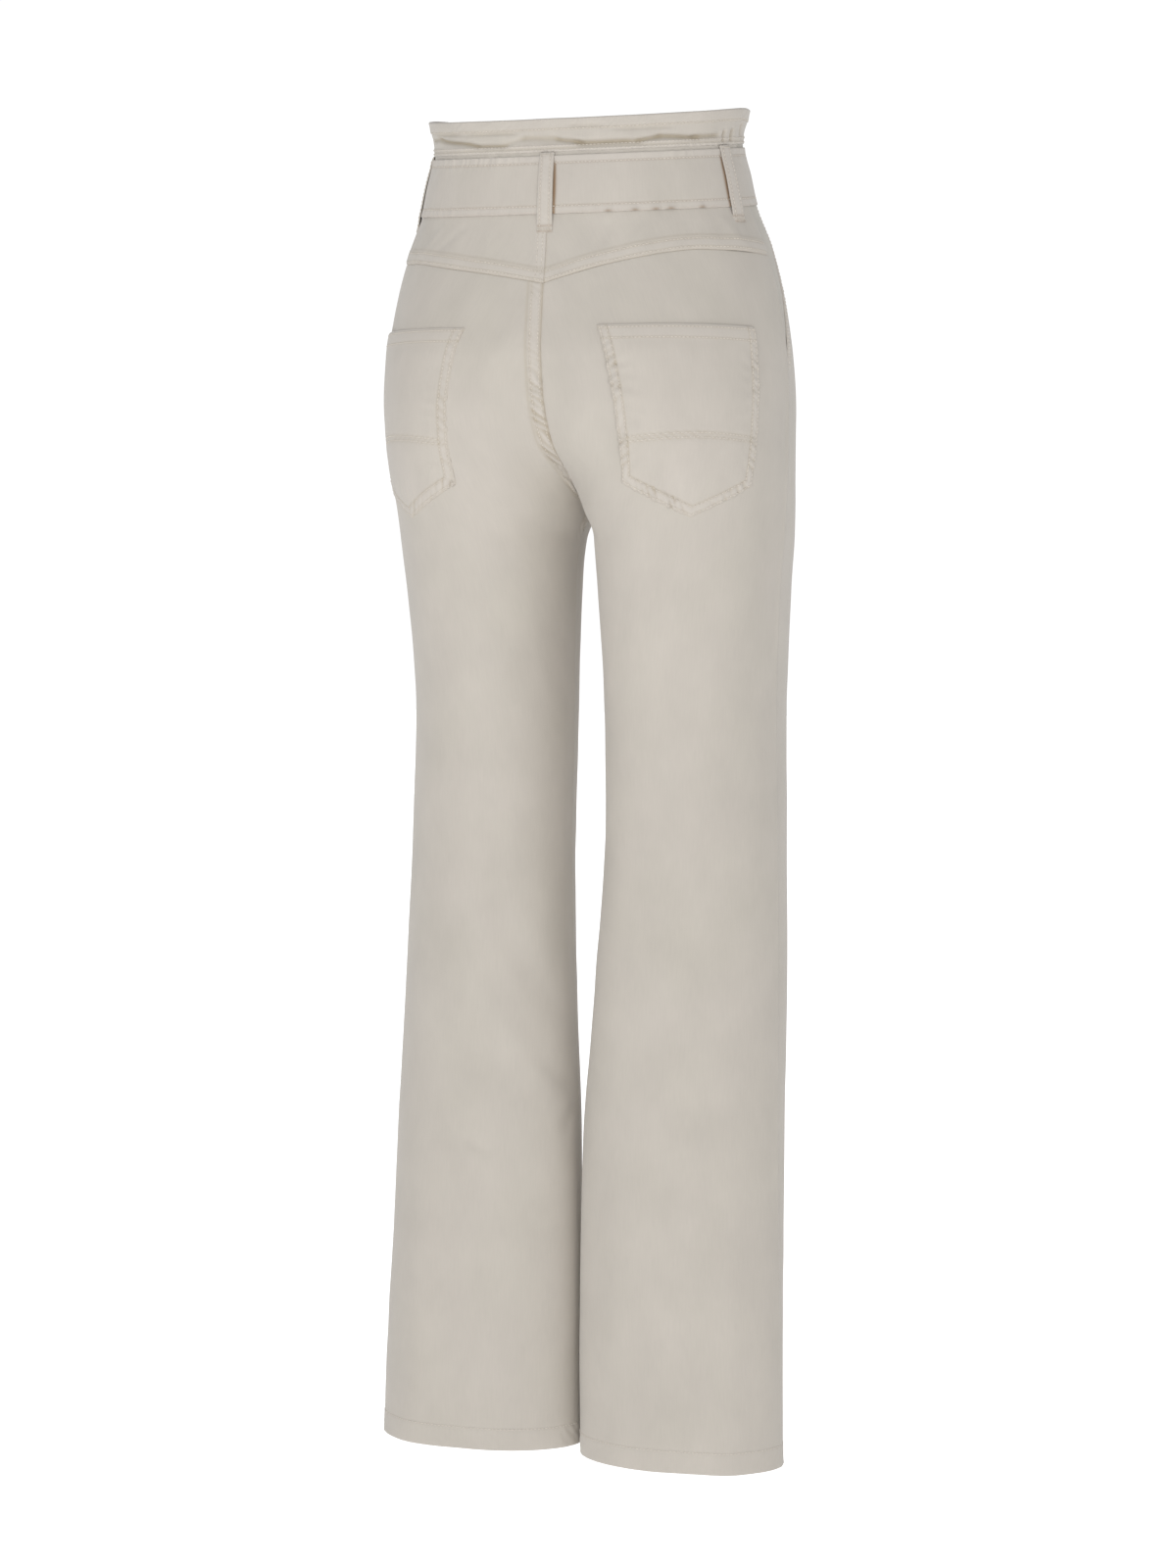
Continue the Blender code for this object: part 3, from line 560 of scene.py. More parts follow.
# The belt cloth's dark brown tone is painted shadow: the slits beside the loops, the gaps under the belt, the
# grooves, the knot's folds and the tail's gathers.
BELT_TWILL = Finish("ecru_twill_belt", (0.556, 0.513, 0.462), "belt_twill",
                    painted_shade=(0.240, 0.140, 0.065))
FACING_TWILL = Finish("ecru_twill_facing", (0.520, 0.486, 0.430), "facing_twill")
THREAD = Finish("ecru_thread", (0.680, 0.630, 0.565), "twill", mottle=0.16, roughness=0.7,
                sheen=0.0, bump_mm=0.05)


# ------------------------------------------------------------------ meshes
class Weaver:
    """Turns grids of points into finished cloth pieces and stitches that ride on the frame."""

    def __init__(self) -> None:
        """Build each finish once."""
        group = ClothGroup()
        finishes = (TWILL, POCKET_TWILL, BELT_TWILL, FACING_TWILL, THREAD)
        self.materials = {finish: finish.build(group) for finish in finishes}

    def wall(self, name: str, outer: Array, inner: Array, place: Array, wear_and_highlight: Array, painted_shade: Array,
             finish: Finish) -> bpy.types.Object:
        """A closed cloth wall with rounded folded edges.

        Args:
            name: the piece's name.
            outer: rows by columns of points on the face that shows.
            inner: the same grid on the hidden face.
            place: two cloth coordinates for each grid point, in metres.
            wear_and_highlight: how pale each point is, for wash wear and painted highlight, 0 to 1.
            painted_shade: how much painted shade each point gets, 0 to 1.
            finish: the cloth's finish.

        Returns:
            The new object, riding on the root body.
        """
        rows, columns = outer.shape[:2]
        count = rows * columns
        index = np.arange(count).reshape(rows, columns)
        a, b = index[:-1, :-1].ravel(), index[:-1, 1:].ravel()
        c, d = index[1:, 1:].ravel(), index[1:, :-1].ravel()
        front = np.stack((a, b, c, d), axis=1)
        back = front[:, ::-1] + count
        rim = np.concatenate((index[0, :], index[1:, -1], index[-1, -2::-1], index[-2:0:-1, 0]))
        next_rim = np.roll(rim, -1)
        inward = np.concatenate((index[1, :], index[1:, -2], index[-2, -2::-1], index[-2:0:-1, 1]))
        inward[0], inward[columns - 1] = index[1, 1], index[1, -2]
        inward[columns + rows - 2] = index[-2, -2]
        inward[2 * columns + rows - 3] = index[-2, 1]
        flat_outer, flat_inner = outer.reshape(-1, 3), inner.reshape(-1, 3)
        away = flat_outer[rim] - flat_outer[inward]
        away /= np.linalg.norm(away, axis=1, keepdims=True) + 1e-9
        middle = (flat_outer[rim] + flat_inner[rim]) / 2
        thick = np.linalg.norm(flat_outer[rim] - flat_inner[rim], axis=1, keepdims=True)
        round_rim = middle + away * np.minimum(thick * 0.42, 0.8)
        base = 2 * count
        size = len(rim)
        edge = np.arange(size) + base
        next_edge = np.roll(edge, -1)
        upper = np.stack((next_rim, rim, edge, next_edge), axis=1)
        lower = np.stack((next_edge, edge, rim + count, next_rim + count), axis=1)
        vertices = np.vstack((flat_outer, flat_inner, round_rim))
        faces = np.vstack((front, back, upper, lower))
        flat_place = place.reshape(-1, 2)
        places = np.vstack((flat_place, flat_place, flat_place[rim]))
        # Marks of wear with painted highlight and of painted shade for the outer face and the rim; the inner
        # face gets none.
        wear_and_highlight_values = np.concatenate((wear_and_highlight.ravel(), np.zeros(count), wear_and_highlight.ravel()[rim]))
        dark = np.concatenate((painted_shade.ravel(), np.zeros(count), painted_shade.ravel()[rim]))
        return self.mesh(name, vertices, faces, places, wear_and_highlight_values, dark, finish)

    def mesh(self, name: str, vertices: Array, faces: Array, places: Array, wear_and_highlight: Array, painted_shade: Array,
             finish: Finish) -> bpy.types.Object:
        """A smooth mesh object in metres with its marks, material and body."""
        mesh = bpy.data.meshes.new(name)
        mesh.from_pydata((vertices * MM).tolist(), [], faces.tolist())
        corners = vertices[faces]
        volume = np.einsum("ij,ij->i", corners[:, 0], np.cross(corners[:, 1], corners[:, 2])).sum()
        volume += np.einsum("ij,ij->i", corners[:, 0], np.cross(corners[:, 2], corners[:, -1])).sum()
        if volume < 0:
            mesh.flip_normals()
        mesh.shade_smooth()
        loops = np.zeros(len(mesh.loops), dtype=np.int32)
        mesh.loops.foreach_get("vertex_index", loops)
        layer = mesh.uv_layers.new(name="cloth_place")
        layer.uv.foreach_set("vector", places[loops].astype(np.float32).ravel())
        # Point attributes: the mark of wear with painted highlight, and the mark of painted shade.
        for mark, values in (("wear_and_highlight", wear_and_highlight), ("painted_shade", painted_shade)):
            attribute = mesh.attributes.new(mark, "FLOAT", "POINT")
            attribute.data.foreach_set("value", np.clip(values, 0.0, 1.0).astype(np.float32))
        mesh.materials.append(self.materials[finish])
        thing = bpy.data.objects.new(name, mesh)
        bpy.context.scene.collection.objects.link(thing)
        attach(thing, "root")
        return thing


@dataclass
class Sheet:
    """One cut piece on one half of the body: a grid of places, a height over the form and its marks."""

    name: str
    side: Side
    weaver: Weaver
    finish: Finish = TWILL
    thickness: float = CLOTH
    cut: tuple[float, float, float] = (0.3, 1.0, 0.25)
    held: Held = Held.HUNG
    threads: list[bpy.types.Object] = field(default_factory=list)

    def grid(self) -> tuple[Array, Array]:
        """Turns and levels of the grid, rows by columns."""
        raise NotImplementedError

    def height(self, turn: Array, level: Array) -> Array:
        """How far the outer face stands off the form."""
        return np.zeros(np.broadcast(turn, level).shape)

    def marks(self, turn: Array, level: Array) -> tuple[Array, Array]:
        """Marks of wear with painted highlight, and of painted shade."""
        flat = np.zeros(np.broadcast(turn, level).shape)
        return flat, flat.copy()

    def surface(self, turn: Array, level: Array, extra: float = 0.0) -> tuple[Array, Array]:
        """Points on the outer face and the normals there."""
        point, normal = FORM.at(turn, level)
        point = point + normal * (self.height(turn, level) + extra)[..., None]
        flip = np.array([self.side.value, 1.0, 1.0])
        return point * flip, normal * flip

    def place(self, turn: Array, level: Array) -> Array:
        """Cloth coordinates in metres: distance from the outseam and level."""
        run = FORM.side_run(turn, level) + 400.0 * self.side.value
        return np.stack((run, np.broadcast_to(level, run.shape)), axis=-1) * MM

    def make(self) -> bpy.types.Object:
        """Build the piece and hide its solid."""
        turn, level = self.grid()
        outer, normal = self.surface(turn, level)
        inner = outer - normal * self.thickness
        # Marks of wear with painted highlight, and of painted shade.
        wear_and_highlight, painted_shade = self.marks(turn, level)
        piece = self.weaver.wall(f"cloth_{self.name}", outer, inner, self.place(turn, level),
                                 wear_and_highlight, painted_shade, self.finish)
        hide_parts(self.name)
        LOG.info("%s: %d faces", piece.name, len(piece.data.polygons))
        return piece

    def rows(self) -> list[tuple[Array, Array]]:
        """Stitch rows of the piece, each as turns and levels along it."""
        return []


# ------------------------------------------------------------------ cut lines that pieces share
def yoke_seam(turn: Array, side: int) -> Array:
    """Level of the back yoke's lower seam, dropping to the point at the centre back."""
    middle_drop = np.clip((turn - 0.38) / 0.62, 0.0, 1.0) ** 1.5
    side_drop = np.clip(1.0 - turn / 0.38, 0.0, 1.0) ** 1.5
    return -57.5 - 21.5 * middle_drop - 4.5 * side_drop - side * 3.0 * np.sin(np.pi * turn)


def mouth_turn(level: Array) -> Array:
    """Turn of the front panel's outer edge: the outseam, then the slanted pocket mouth."""
    climb = np.clip((level - MOUTH_FOOT) / (WAIST_SEAM - MOUTH_FOOT), 0.0, 1.0)
    return -0.0008 - 0.27 * climb ** 1.15


@dataclass
class LegPanel(Sheet):
    """Ground that the long front and back pieces share."""

    way: int = 1
    seam_zone: float = 22.0
    nominal: float = 235.0
    hem_depth: float = 17.0

    def start_run(self, level: Array) -> Array:
        """Where the panel's outer edge is, as a run from the outseam."""
        return np.full(np.shape(level), 0.08)

    def top(self, turn: Array) -> Array:
        """Level of the upper edge."""
        raise NotImplementedError

    def grid(self) -> tuple[Array, Array]:
        """Close columns by the seams and close rows by the yoke, over the seat and at the hem."""
        hem = HEM_LEVELS[self.side.value]
        nominal_top = -57.5 if self.way > 0 else WAIST_SEAM
        across = graded(0.0, self.nominal, 3.1,
                        ((0.0, 12.0, 1.5), (self.nominal - self.seam_zone, self.nominal, 1.15)))
        down = -graded(-nominal_top, -hem, 5.0,
                       ((-nominal_top, -nominal_top + 7.0, 0.8), (7.0 - nominal_top, 285.0, 2.0),
                        (690.0, 805.0, 3.0), (-hem - 24.0, -hem, 1.3)))
        base = np.broadcast_to(down[:, None], (len(down), len(across)))
        fade = np.clip((base + 150.0) / (nominal_top + 150.0), 0.0, 1.0)
        level = base
        for _ in range(2):
            start = self.start_run(level)
            outer, inner, _ = FORM.measure(level, self.way)
            whole = outer + inner - 0.05 - start
            zone = self.seam_zone
            run = np.where(across < zone, across, np.where(
                across > self.nominal - zone, whole - (self.nominal - across),
                zone + (across - zone) * (whole - 2 * zone) / (self.nominal - 2 * zone)))
            turn = FORM.side_turn(start + run, level, self.way)
            level = base + (self.top(turn) - nominal_top) * fade
        return turn, level

    def ground(self, turn: Array, level: Array) -> Array:
        """Folds and unevenness, calmed towards the seams and the belt."""
        side = self.side.value
        middle = FORM.middle_run(turn, level, self.way)
        outer = np.abs(FORM.side_run(turn, level)) - self.start_run(level)
        calm = smooth_step(middle / 12.0) * smooth_step(outer / 9.0)
        calm = calm * (0.25 + 0.75 * smooth_step((-30.0 - level) / 30.0))
        return calm * (handle(side, turn, level) + creases(side, turn, level))

    def hem_band(self, turn: Array, level: Array) -> tuple[Array, Array]:
        """Height and strength of the turned hem."""
        rise = level - HEM_LEVELS[self.side.value]
        run = FORM.side_run(turn, level)
        band = plateau(rise, -5.0, self.hem_depth, 1.6)
        twist = roping(rise, run, 7.5, 0.7, 51 + self.side.value + 2 * self.way)
        height = band * (0.32 + 0.24 * twist) - 0.28 * bump_at(rise, self.hem_depth, 1.1)
        return height, band

    def surface(self, turn: Array, level: Array, extra: float = 0.0) -> tuple[Array, Array]:
        """Outer face, kept clear of the centre plane but for the left piece's lap."""
        point, normal = super().surface(turn, level, extra)
        side = self.side.value
        point[..., 0] = side * np.maximum(side * point[..., 0], 0.05)
        if self.side is Side.LEFT:
            seat = smooth_step((level + 283.0) / 20.0)
            point[..., 0] -= 1.3 * seat * np.exp(-FORM.middle_run(turn, level, self.way) / 2.2)
        return point, normal


@dataclass
class BackPanel(LegPanel):
    """Seat and back of one leg, from the yoke to the hem."""

    way: int = 1
    cut: tuple[float, float, float] = (0.300, 0.990, 0.228)
    tuck_in: float = 3.0              # how far it runs up under the yoke's fold
    tuck_depth: float = 1.15          # how far it drops there
    lap_depth: float = 0.75           # how far the right panel drops under the left one's edge
    fell_width: float = 9.0           # centre-back felled band
    fell_rows: tuple[float, float] = (1.8, 7.8)

    def top(self, turn: Array) -> Array:
        """A little above the yoke seam, where the panel runs in under the yoke's fold."""
        return yoke_seam(turn, self.side.value) + self.tuck_in

    def band(self, turn: Array, level: Array) -> tuple[Array, Array, Array]:
        """Centre-back felled band on the wearer's left: height, cover and how much it ropes."""
        middle = FORM.middle_run(turn, level, 1)
        seat = smooth_step((level + 292.0) / 22.0)
        strength = 0.25 + 0.75 * smooth_step((-level - 135.0) / 45.0)
        if self.side is Side.LEFT:
            cover = plateau(middle, -2.0, self.fell_width, 1.5) * seat * smooth_step((middle + 0.6) / 2.2)
            twist = roping(middle, level, 6.6, -0.85, 31)
            height = cover * (0.60 + 1.20 * strength * twist)
            height += seat * bump_at(middle, 12.0, 3.0) * strength * 0.30 * twist
            near, far = self.fell_rows
            height -= 0.25 * seat * bump_at(middle, near, 0.9) + 0.25 * seat * bump_at(middle, far, 0.9)
            height -= 0.40 * seat * np.exp(-(middle / 0.9) ** 2)
            return height, cover, seat * strength * np.clip(-twist, 0.0, 1.0)
        ease = np.exp(-np.abs(middle) / 7.0) * seat
        twist = roping(-middle, level, 6.6, -0.5, 31)
        lap = self.lap_depth * seat * smooth_step((1.7 - middle) / 1.2)
        return ease * (0.20 * strength * twist - 0.15) - lap, 0.0 * ease, 0.0 * ease

    def height(self, turn: Array, level: Array) -> Array:
        """Folds, the centre-back band, the soft dip below the yoke and the hem."""
        band, _, _ = self.band(turn, level)
        below = yoke_seam(turn, self.side.value) - level
        tuck = smooth_step((0.5 - below) / 0.9)
        hem, _ = self.hem_band(turn, level)
        middle = FORM.middle_run(turn, level, 1)
        inseam = smooth_step((-level - 285.0) / 20.0) * plateau(middle, -2.0, 4.0, 2.5)
        rope = 0.3 * roping(middle, level, 9.0, 0.5, 61)
        outseam = np.exp(-(FORM.side_run(turn, level) / 3.5) ** 2) * 0.35
        return (self.ground(turn, level) + band + hem + outseam + inseam * (0.3 + rope)
                - 0.25 * np.exp(-np.abs(below) / 2.6) - self.tuck_depth * tuck)

    def marks(self, turn: Array, level: Array) -> tuple[Array, Array]:
        """Paler on the felled band and the hem, partly wash wear and partly painted highlight on the ridges;
        painted shade under the yoke's lower edge, along the centre-back seam, in the band's troughs, at its
        foot and at its far row.
        """
        band, cover, troughs = self.band(turn, level)
        below = yoke_seam(turn, self.side.value) - level
        middle = FORM.middle_run(turn, level, 1)
        seat = smooth_step((level + 285.0) / 20.0)
        hem, hem_cover = self.hem_band(turn, level)
        wear_and_highlight = 0.28 * cover + 0.25 * hem_cover * np.clip(hem, 0, 1)
        wear_and_highlight += 0.45 * cover * np.clip(band - 0.8, 0.0, 1.0)
        painted_shade = 0.40 * smooth_step((0.9 - below) / 1.1) + 0.55 * seat * np.exp(-(middle / 1.3) ** 2)
        painted_shade += 0.55 * cover * troughs
        if self.side is Side.LEFT:
            foot = 0.30 * bump_at(middle, self.fell_width + 2.0, 1.3)
            painted_shade += seat * (foot + 0.25 * bump_at(middle, self.fell_rows[1], 0.9))
        return wear_and_highlight, painted_shade

    def rows(self) -> list[tuple[Array, Array]]:
        """Two rows on the centre-back band, and the hem row."""
        level = np.linspace(-86.0, -270.0, 400)
        found = []
        if self.side is Side.LEFT:
            found += [(FORM.middle_turn(run, level, 1), level) for run in self.fell_rows]
        across = np.linspace(0.01, 0.985, 500)
        found.append((across, np.full(500, HEM_LEVELS[self.side.value] + self.hem_depth)))
        return found


@dataclass
class FrontPanel(LegPanel):
    """Front of one leg, from the frill to the hem, cut away by the slanted pocket mouth."""

    way: int = -1
    cut: tuple[float, float, float] = (0.270, 1.060, 0.242)
    mouth_hem: float = 8.5
    mouth_rows: tuple[float, float] = (1.9, 7.9)
    centre_rows: tuple[float, float] = (1.8, 7.2)

    def start_run(self, level: Array) -> Array:
        """The pocket mouth, then the outseam."""
        return np.abs(FORM.side_run(mouth_turn(level), level))

    def top(self, turn: Array) -> Array:
        """The waist seam."""
        return np.full(np.shape(turn), WAIST_SEAM - 0.15)

    def mouth_share(self, level: Array) -> Array:
        """1 along the pocket mouth, 0 below it."""
        return smooth_step((level - MOUTH_FOOT + 2.0) / 8.0)

    def height(self, turn: Array, level: Array) -> Array:
        """Folds, the double hem of the pocket mouth, the centre seam and the leg hem."""
        edge = np.abs(FORM.side_run(turn, level)) - self.start_run(level)
        run = FORM.middle_run(turn, level, -1)
        mouth = self.mouth_share(level) * plateau(edge, -2.0, self.mouth_hem, 1.6)
        twist = roping(edge, level, 7.0, 0.6, 71 + self.side.value)
        seat = smooth_step((level + 285.0) / 20.0)
        centre = seat * plateau(run, -2.0, 8.0, 1.6) * (self.side is Side.LEFT)
        centre_twist = roping(run, level, 6.6, 0.7, 81)
        hem, _ = self.hem_band(turn, level)
        grooves = sum(bump_at(edge, inset, 0.9) for inset in self.mouth_rows)
        return (self.ground(turn, level) + mouth * (0.45 + 0.22 * twist) + hem
                + centre * (0.4 + 0.35 * centre_twist)
                - self.mouth_share(level) * (0.2 * grooves + 0.5 * np.exp(-(edge / 0.9) ** 2)))

    def marks(self, turn: Array, level: Array) -> tuple[Array, Array]:
        """Paler on the mouth's hem and the leg hem, partly wash wear and partly painted highlight; painted
        shade along the centre front.
        """
        edge = np.abs(FORM.side_run(turn, level)) - self.start_run(level)
        run = FORM.middle_run(turn, level, -1)
        seat = smooth_step((level + 285.0) / 20.0)
        hem, hem_cover = self.hem_band(turn, level)
        wear_and_highlight = 0.4 * self.mouth_share(level) * plateau(edge, -2.0, self.mouth_hem, 1.6)
        wear_and_highlight = wear_and_highlight + 0.3 * hem_cover * np.clip(hem, 0, 1)
        painted_shade = 0.5 * seat * np.exp(-(run / 0.9) ** 2)
        return wear_and_highlight, painted_shade

    def rows(self) -> list[tuple[Array, Array]]:
        """Two rows along the pocket mouth, the centre seam's rows and the hem row."""
        level = np.linspace(WAIST_SEAM - 2.0, MOUTH_FOOT + 1.0, 300)
        found = [(FORM.side_turn(self.start_run(level) + run, level, -1), level) for run in self.mouth_rows]
        if self.side is Side.LEFT:
            low = np.linspace(-166.0, -268.0, 240)
            found += [(FORM.middle_turn(run, low, -1), low) for run in self.centre_rows]
        across = -np.linspace(0.015, 0.985, 500)
        found.append((across, np.full(500, HEM_LEVELS[self.side.value] + self.hem_depth)))
        return found


@dataclass
class Yoke(Sheet):
    """Back yoke of one side, its lower edge folded over the back panel."""

    cut: tuple[float, float, float] = (0.236, 0.112, 0.0212)
    band_depth: float = 10.5
    lap_depth: float = 0.75
    centre_rows: tuple[float, float] = (1.6, 5.4)

    def row_rises(self) -> tuple[float, float]:
        """How far above the seam the lower band's two rows run."""
        return 2.2, self.band_depth - 1.6

    def grid(self) -> tuple[Array, Array]:
        """Close rows by the pointed seam, close columns by the centre."""
        share = graded(0.0, 1.0, 0.0145, ((0.965, 1.0, 0.006),))
        depth = graded(0.0, 96.0, 1.7, ((74.0, 96.0, 1.1),)) / 96.0
        share, depth = np.meshgrid(share, depth)
        turn = 0.0004 + 0.9993 * share
        top = WAIST_SEAM - 0.15
        level = top + (yoke_seam(turn, self.side.value) + 0.15 - top) * depth
        return turn, level

    def band(self, turn: Array, level: Array) -> tuple[Array, Array]:
        """Height and cover of the folded, double-stitched lower edge."""
        rise = level - yoke_seam(turn, self.side.value)
        run = FORM.side_run(turn, level)
        twist = roping(rise, run, 5.6, 0.5, 91 + self.side.value)
        cover = plateau(rise, -2.0, self.band_depth, 1.8)
        grooves = sum(bump_at(rise, row, 0.9) for row in self.row_rises())
        return cover * (0.36 + 0.30 * twist) - 0.24 * grooves - 0.75 * np.exp(-(rise / 0.9) ** 2), cover

    def centre(self, turn: Array, level: Array) -> tuple[Array, Array]:
        """Height and cover of the centre-back felled band on the wearer's left."""
        middle = FORM.middle_run(turn, level, 1)
        if self.side is Side.RIGHT:
            lap = self.lap_depth * smooth_step((1.7 - middle) / 1.2)
            return -0.15 * np.exp(-middle / 5.0) - lap, 0.0 * middle
        cover = plateau(middle, -2.0, 6.2, 1.4) * smooth_step((-19.0 - level) / 4.0)
        edge = 0.40 * np.exp(-(middle / 0.9) ** 2)
        return cover * (0.40 + 0.18 * roping(middle, level, 6.0, -0.8, 95)) - edge, cover

    def surface(self, turn: Array, level: Array, extra: float = 0.0) -> tuple[Array, Array]:
        """Outer face, with the left yoke's lap over the right one."""
        point, normal = super().surface(turn, level, extra)
        if self.side is Side.LEFT:
            point[..., 0] -= 1.3 * np.exp(-FORM.middle_run(turn, level, 1) / 2.2)
        return point, normal

    def height(self, turn: Array, level: Array) -> Array:
        """Small drags under the belt, the lower band and the centre band."""
        side = self.side.value
        band, _ = self.band(turn, level)
        centre, _ = self.centre(turn, level)
        run = FORM.side_run(turn, level)
        free = smooth_step((-22.0 - level) / 12.0)
        soft = 0.75 * value_noise(run / 16.0 + 0.5 * level / 16.0, level / 30.0, 101 + side)
        soft += 0.45 * value_noise(run / 38.0, level / 40.0, 103 + side)
        folds = sum(size * bump_at(run - slope * (level + 40.0), place, 4.5)
                    * bump_at(level, -42.0, 14.0)
                    for place, slope, size in YOKE_DRAGS[side])
        return band + centre + free * (soft + folds)

    def marks(self, turn: Array, level: Array) -> tuple[Array, Array]:
        """Paler on both bands, partly wash wear and partly painted highlight on their ridges; painted shade
        along the lower band's upper edge, in its stitch grooves, along its folded lower edge and down the
        right yoke's centre seam.
        """
        rise = level - yoke_seam(turn, self.side.value)
        band, cover = self.band(turn, level)
        _, centre = self.centre(turn, level)
        middle = FORM.middle_run(turn, level, 1)
        wear_and_highlight = 0.30 * np.maximum(cover, centre) + 0.5 * np.clip(band - 0.45, 0, 1)
        painted_shade = 0.22 * bump_at(rise, self.band_depth + 1.0, 1.2)
        painted_shade += 0.34 * sum(bump_at(rise, row, 0.9) for row in self.row_rises())
        painted_shade += 0.85 * np.exp(-(middle / 1.7) ** 2) * (self.side is Side.RIGHT)
        painted_shade += 0.30 * np.exp(-(rise / 0.5) ** 2)
        return wear_and_highlight, painted_shade

    def rows(self) -> list[tuple[Array, Array]]:
        """Two rows on the lower band and two on the centre band."""
        turn = np.linspace(0.005, 0.992, 400)
        seam = yoke_seam(turn, self.side.value)
        found = [(turn, seam + rise) for rise in self.row_rises()]
        if self.side is Side.LEFT:
            level = np.linspace(-24.0, -78.0, 160)
            found += [(FORM.middle_turn(run, level, 1), level) for run in self.centre_rows]
        return found


# place (run from the outseam), slope and size of the small drags on each yoke
YOKE_DRAGS = {
    1: ((44.0, -0.5, -0.9), (88.0, 0.7, 0.7), (112.0, 0.9, -0.8), (150.0, -0.4, 0.6)),
    -1: ((40.0, 0.4, 0.7), (76.0, -0.8, -0.6), (118.0, -1.1, 0.6), (146.0, -0.9, -0.8)),
}


@dataclass
class PocketFacing(Sheet):
    """Hip piece that fills a front pocket's mouth from inside."""

    finish: Finish = FACING_TWILL
    cut: tuple[float, float, float] = (0.063, 0.190, 0.0072)
    sunk: float = 1.7         # how far it lies in under the front panel

    def grid(self) -> tuple[Array, Array]:
        """From the outseam to just under the front panel."""
        level = np.linspace(WAIST_SEAM - 0.15, MOUTH_FOOT - 12.0, 110)[:, None]
        share = np.linspace(0.0, 1.0, 34)[None, :]
        inner = mouth_turn(level) - 0.055
        turn = -0.0008 + (inner + 0.0008) * share
        return turn, np.broadcast_to(level, turn.shape)

    def height(self, turn: Array, level: Array) -> Array:
        """Level with the yoke at the outseam, and one layer in under the front panel."""
        edge = FORM.side_run(mouth_turn(level), level) - FORM.side_run(turn, level)
        tuck = smooth_step((edge + 4.0) / 4.0)
        soft = 0.35 * value_noise(FORM.side_run(turn, level) / 20.0, level / 30.0, 111 + self.side.value)
        foot = smooth_step((-118.0 - level) / 30.0)
        return -self.sunk * np.maximum(tuck, foot) + soft * (1.0 - tuck)

    def marks(self, turn: Array, level: Array) -> tuple[Array, Array]:
        """Shaded beside the pocket mouth."""
        edge = FORM.side_run(mouth_turn(level), level) - FORM.side_run(turn, level)
        return 0.0 * edge, 0.10 * smooth_step((edge + 3.0) / 3.0)


@dataclass
class Fly(Sheet):
    """Fly placket on the wearer's left front, curved away at its foot."""

    cut: tuple[float, float, float] = (0.038, 0.142, 0.0050)
    foot: float = -165.0
    width: float = 38.0

    def spread(self, down: Array) -> Array:
        """Width of the placket at each share of its depth."""
        return self.width * (1.0 - 0.55 * np.clip((down - 0.75) / 0.25, 0.0, 1.0) ** 2)

    def grid(self) -> tuple[Array, Array]:
        """From under the belt down to the curved foot."""
        share, down = np.meshgrid(np.linspace(0.0, 1.0, 30), np.linspace(0.0, 1.0, 100))
        top = -BELT_HALF - 0.3
        level = top + (self.foot - top) * down
        return FORM.middle_turn(1.0 + self.spread(down) * share, level, -1), level

    def height(self, turn: Array, level: Array) -> Array:
        """Laid close on the front with sewn-down, softly roped edges."""
        run = FORM.middle_run(turn, level, -1)
        edge = self.spread((level + BELT_HALF) / (self.foot + BELT_HALF)) + 1.0 - run
        puff = smooth_step(edge / 5.0) * smooth_step(run / 4.0)
        return (1.75 + 0.35 * puff + 0.18 * roping(edge, level, 7.0, 0.5, 121) * (1 - puff)
                + 0.25 * value_noise(run / 14.0, level / 22.0, 123))

    def marks(self, turn: Array, level: Array) -> tuple[Array, Array]:
        """Paler at the folded edge, partly wash wear and partly painted highlight."""
        run = FORM.middle_run(turn, level, -1)
        return 0.45 * np.exp(-((run - 1.0) / 1.6) ** 2), 0.0 * run

    def rows(self) -> list[tuple[Array, Array]]:
        """Two rows that follow the placket's curved outer edge."""
        down = np.linspace(0.0, 0.985, 300)
        level = -BELT_HALF + (self.foot + BELT_HALF) * down
        return [(FORM.middle_turn(1.0 + self.spread(down) - inset, level, -1), level) for inset in (2.0, 7.5)]


